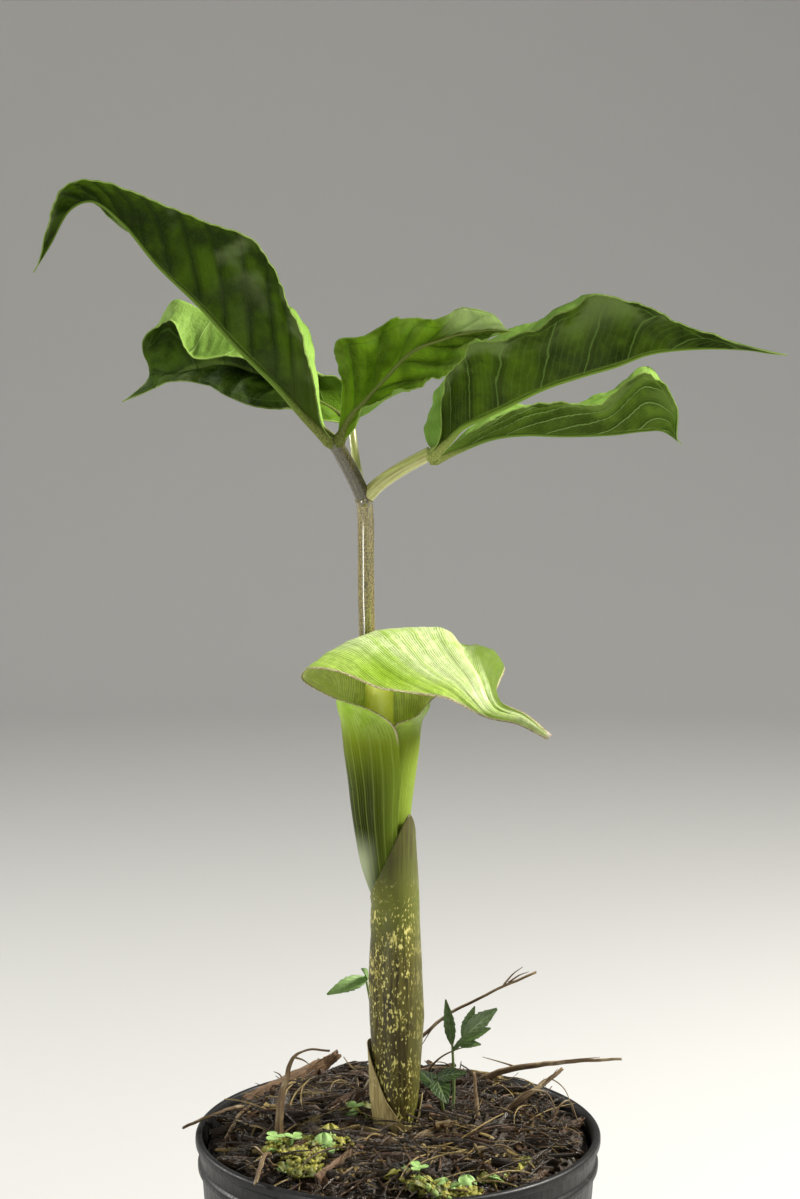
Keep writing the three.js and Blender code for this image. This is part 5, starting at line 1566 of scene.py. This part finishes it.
for seed, patch in enumerate(MOSS_PATCHES):
    moss_patch(*patch, seed=MOSS_SEED + seed)


# Weeds: seedlings with toothed blades on thin stalks

WEED_STEMS = {
    "weed_left": [(-6, 22, 132), (-8, 23, 160), (-11, 21, 184), (-13.5, 18, 199)],
    "weed_right": [(22, 12, 134), (23, 13, 152), (22.5, 13, 168), (22, 13, 177)],
    "weed_low": [(20, 13, 134), (18, 10, 148), (15.5, 6.5, 159.5)],
}

# Base, tip and width of each blade
WEED_BLADES = {
    "weed_left": [
        ((-12.5, 18, 198), (-29, 8, 194), 6), ((-12.5, 18, 198), (-15, 11, 204), 3.5),
        ((-11.5, 20, 190), (2, 30, 196), 6),
    ],
    "weed_right": [
        ((22.2, 13, 171), (19.5, 11, 191), 4.2), ((22.2, 13, 168), (30, 11, 178), 2.0),
        ((27, 11.5, 175), (40.5, 8, 188), 7.0), ((26.5, 11.5, 174.5), (31.5, 13, 187.5), 4.2),
        ((26, 12, 173.5), (38, 12, 178.5), 4.6), ((24.5, 13, 171.5), (34, 9, 172.5), 3.8),
    ],
    "weed_low": [
        ((15.5, 7.2, 158.5), (20, -5, 152), 7.5), ((15.5, 7.2, 159), (28, 3, 162.5), 5.5),
        ((16.8, 8.4, 153), (9, 22, 157), 6),
    ],
}

# From dark green (0) to mint (1)
WEED_TONES = {"weed_left": 0.9, "weed_right": 0.25, "weed_low": 0.0}
WEED_HALF = 0.16
WEED_ROWS = 46
WEED_COLUMNS = 21
WEED_STALK_ROWS = 40
WEED_STALK_SIDES = 12
WEED_VEINS = 6.0
WEED_TEETH = 7.0


def weed_blade(batch, base, tip, width, tone, seed):
    """A toothed blade, folded a little along its middle, with raised veins."""
    base, tip = np.asarray(base, float), np.asarray(tip, float)
    along = tip - base
    across = unit(np.cross(along, (0.0, -0.75, 0.65)))
    up = unit(np.cross(across, along))
    u = evenly(WEED_ROWS)
    v = evenly(WEED_COLUMNS, -1.0)
    half = 0.5 * width * (0.14 + 0.86 * np.sin(np.pi * u ** 0.8))
    half = half * (1.0 + 0.22 * (1.0 - (u * WEED_TEETH + seed * 0.37) % 1.0) * np.sin(np.pi * u))
    hinge = 0.25 * np.abs(v) * half[:, None] + 0.12 * width * np.sin(np.pi * u)[:, None]
    swell = np.abs(np.sin(np.pi * (WEED_VEINS * u[:, None] - 2.0 * np.abs(v))))
    height = hinge + 0.12 * swell * (1.0 - v ** 2)
    middle = flat_blade(base, along, across, u, v, half) + up * height[..., None]
    points, faces = thin_sheet(middle, WEED_HALF, WEED_HALF)
    place = np.dstack([*np.meshgrid(u, v, indexing="ij"), np.zeros_like(hinge)])
    batch.add(points, faces, blade=np.tile(place.reshape(-1, 3), (2, 1)), tone=tone)


def weed(name):
    batch = Batch()
    tone = WEED_TONES[name]
    t = evenly(WEED_STALK_ROWS)
    points, faces, _ = tube(curve(WEED_STEMS[name], t), mix(0.75, 0.45, t), WEED_STALK_SIDES)
    batch.add(points, faces, blade=np.tile((0.5, 0.0, 1.0), (len(points), 1)), tone=tone)
    for seed, (base, tip, width) in enumerate(WEED_BLADES[name]):
        weed_blade(batch, base, tip, width, tone, seed)
    batch.piece(name + "_leaves", weed_finish(), [name], "weed")


def weed_finish():
    f = Finish("weed_green")
    run, side, stalk = f.parts(f.mark("blade", "Vector"))
    tone = f.mark("tone")
    speck = f.noise(f.place(), 0.6, 3.0)
    dark = f.tone(speck, (0.016, 0.036, 0.006), (0.038, 0.078, 0.013))
    mint = f.tone(speck, (0.24, 0.42, 0.11), (0.36, 0.55, 0.19))
    colour = f.cover(dark, mint, tone)
    across = f.math("ABSOLUTE", side)
    lined = f.minus(f.times(run, WEED_VEINS), f.times(across, 2.0))
    vein = f.step(f.from_whole(lined), 0.10, 0.02)
    vein = f.most(vein, f.step(across, 0.12, 0.04))
    colour = f.cover(colour, (0.34, 0.46, 0.18), vein, 0.35)
    colour = f.cover(colour, (0.16, 0.20, 0.06), stalk, 0.6)
    surface = f.surface(colour, 0.45, f.bump(vein, 0.15, 0.5))
    return f.done(f.glow_through(surface, colour, 0.25))


for name in WEED_STEMS:
    weed(name)


# Soil: the CAD solid stays, under the mulch and at the drain holes

def soil_finish():
    f = Finish("soil_damp")
    here = f.place()
    lump = f.noise(here, 0.5, 4.0, 0.65)
    grit = f.cells(here, 0.9)
    colour = f.tone(lump, (0.016, 0.010, 0.006), (0.075, 0.050, 0.030), 0.35, 0.68)
    return f.done(f.surface(colour, 0.85, f.bump(f.plus(lump, grit), 0.8, 0.9)))


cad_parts["soil"].material_slots[0].material = soil_finish()


# Floor, light and camera

BACKDROP_FLOOR = 1.7
BACKDROP_BEND = 0.8
BACKDROP_TOP = 2.4
BACKDROP_SIDES = 128
FLOOR_COLOUR = (0.55, 0.55, 0.54)

SKY = (0.97, 0.98, 1.0, 1.0)
SKY_STRENGTH = 0.26
LAMP_AIM = Vector((0.0, 0.0, 0.3))

# Name, place in metres, width, height, power and colour
LAMPS = [
    ("key", (1.0, 0.10, 1.15), 0.30, 0.30, 40.0, (1.0, 0.97, 0.90)),
    ("rim", (-1.2, 0.45, 0.75), 0.35, 0.35, 11.0, (1.0, 0.99, 0.96)),
    ("front", (0.30, -1.35, 0.42), 0.6, 0.6, 2.0, (0.98, 0.99, 1.0)),
    ("spark", (-0.37, -0.43, 0.17), 0.14, 0.24, 1.1, (1.0, 0.99, 0.96)),
]

# The camera that took the photo: its focal length and the photo's height in pixels, and its downward look
FOCAL_PIXELS = 2600.0
PHOTO_HEIGHT = 1199.0
SENSOR = 36.0
CAMERA_PLACE = (0.0008, -1.02097, 0.50149)
CAMERA_TILT = 82.0


def backdrop():
    """A plain pale floor that bends up into a wall all round."""
    turn = np.linspace(0.0, np.pi / 2.0, 24)
    bend = np.stack([np.sin(turn), 1.0 - np.cos(turn)], axis=1) * BACKDROP_BEND + (BACKDROP_FLOOR, 0.0)
    profile = np.concatenate([[(0.001, 0.0), (0.5, 0.0), (1.2, 0.0)], bend,
                              [(BACKDROP_FLOOR + BACKDROP_BEND, BACKDROP_TOP)]])
    faces = grid_faces(len(profile), BACKDROP_SIDES, around=True)
    mesh = new_mesh("floor", revolved(profile, BACKDROP_SIDES), faces)
    mesh.shade_smooth()
    floor = link("floor", mesh)
    f = Finish("floor_pale")
    mesh.materials.append(f.done(f.surface(FLOOR_COLOUR, 0.9)))


def studio():
    backdrop()
    world = bpy.data.worlds.new("studio")
    world.use_nodes = True
    sky = world.node_tree.nodes["Background"]
    sky.inputs["Color"].default_value = SKY
    sky.inputs["Strength"].default_value = SKY_STRENGTH
    bpy.context.scene.world = world
    bpy.context.scene.view_settings.view_transform = "Standard"
    for row in LAMPS:
        lamp(*row)


def lamp(name, place, width, height, power, colour):
    light = bpy.data.lights.new(name, "AREA")
    light.shape = "ELLIPSE"
    light.size = width
    light.size_y = height
    light.energy = power
    light.color = colour
    holder = link(name, light)
    holder.location = place
    holder.rotation_euler = (LAMP_AIM - Vector(place)).to_track_quat("-Z", "Y").to_euler()


def camera():
    lens = bpy.data.cameras.new("camera")
    lens.lens = SENSOR * FOCAL_PIXELS / PHOTO_HEIGHT
    lens.sensor_width = SENSOR
    eye = link("camera", lens)
    eye.location = CAMERA_PLACE
    eye.rotation_euler = (math.radians(CAMERA_TILT), 0.0, 0.0)
    bpy.context.scene.camera = eye


studio()
camera()
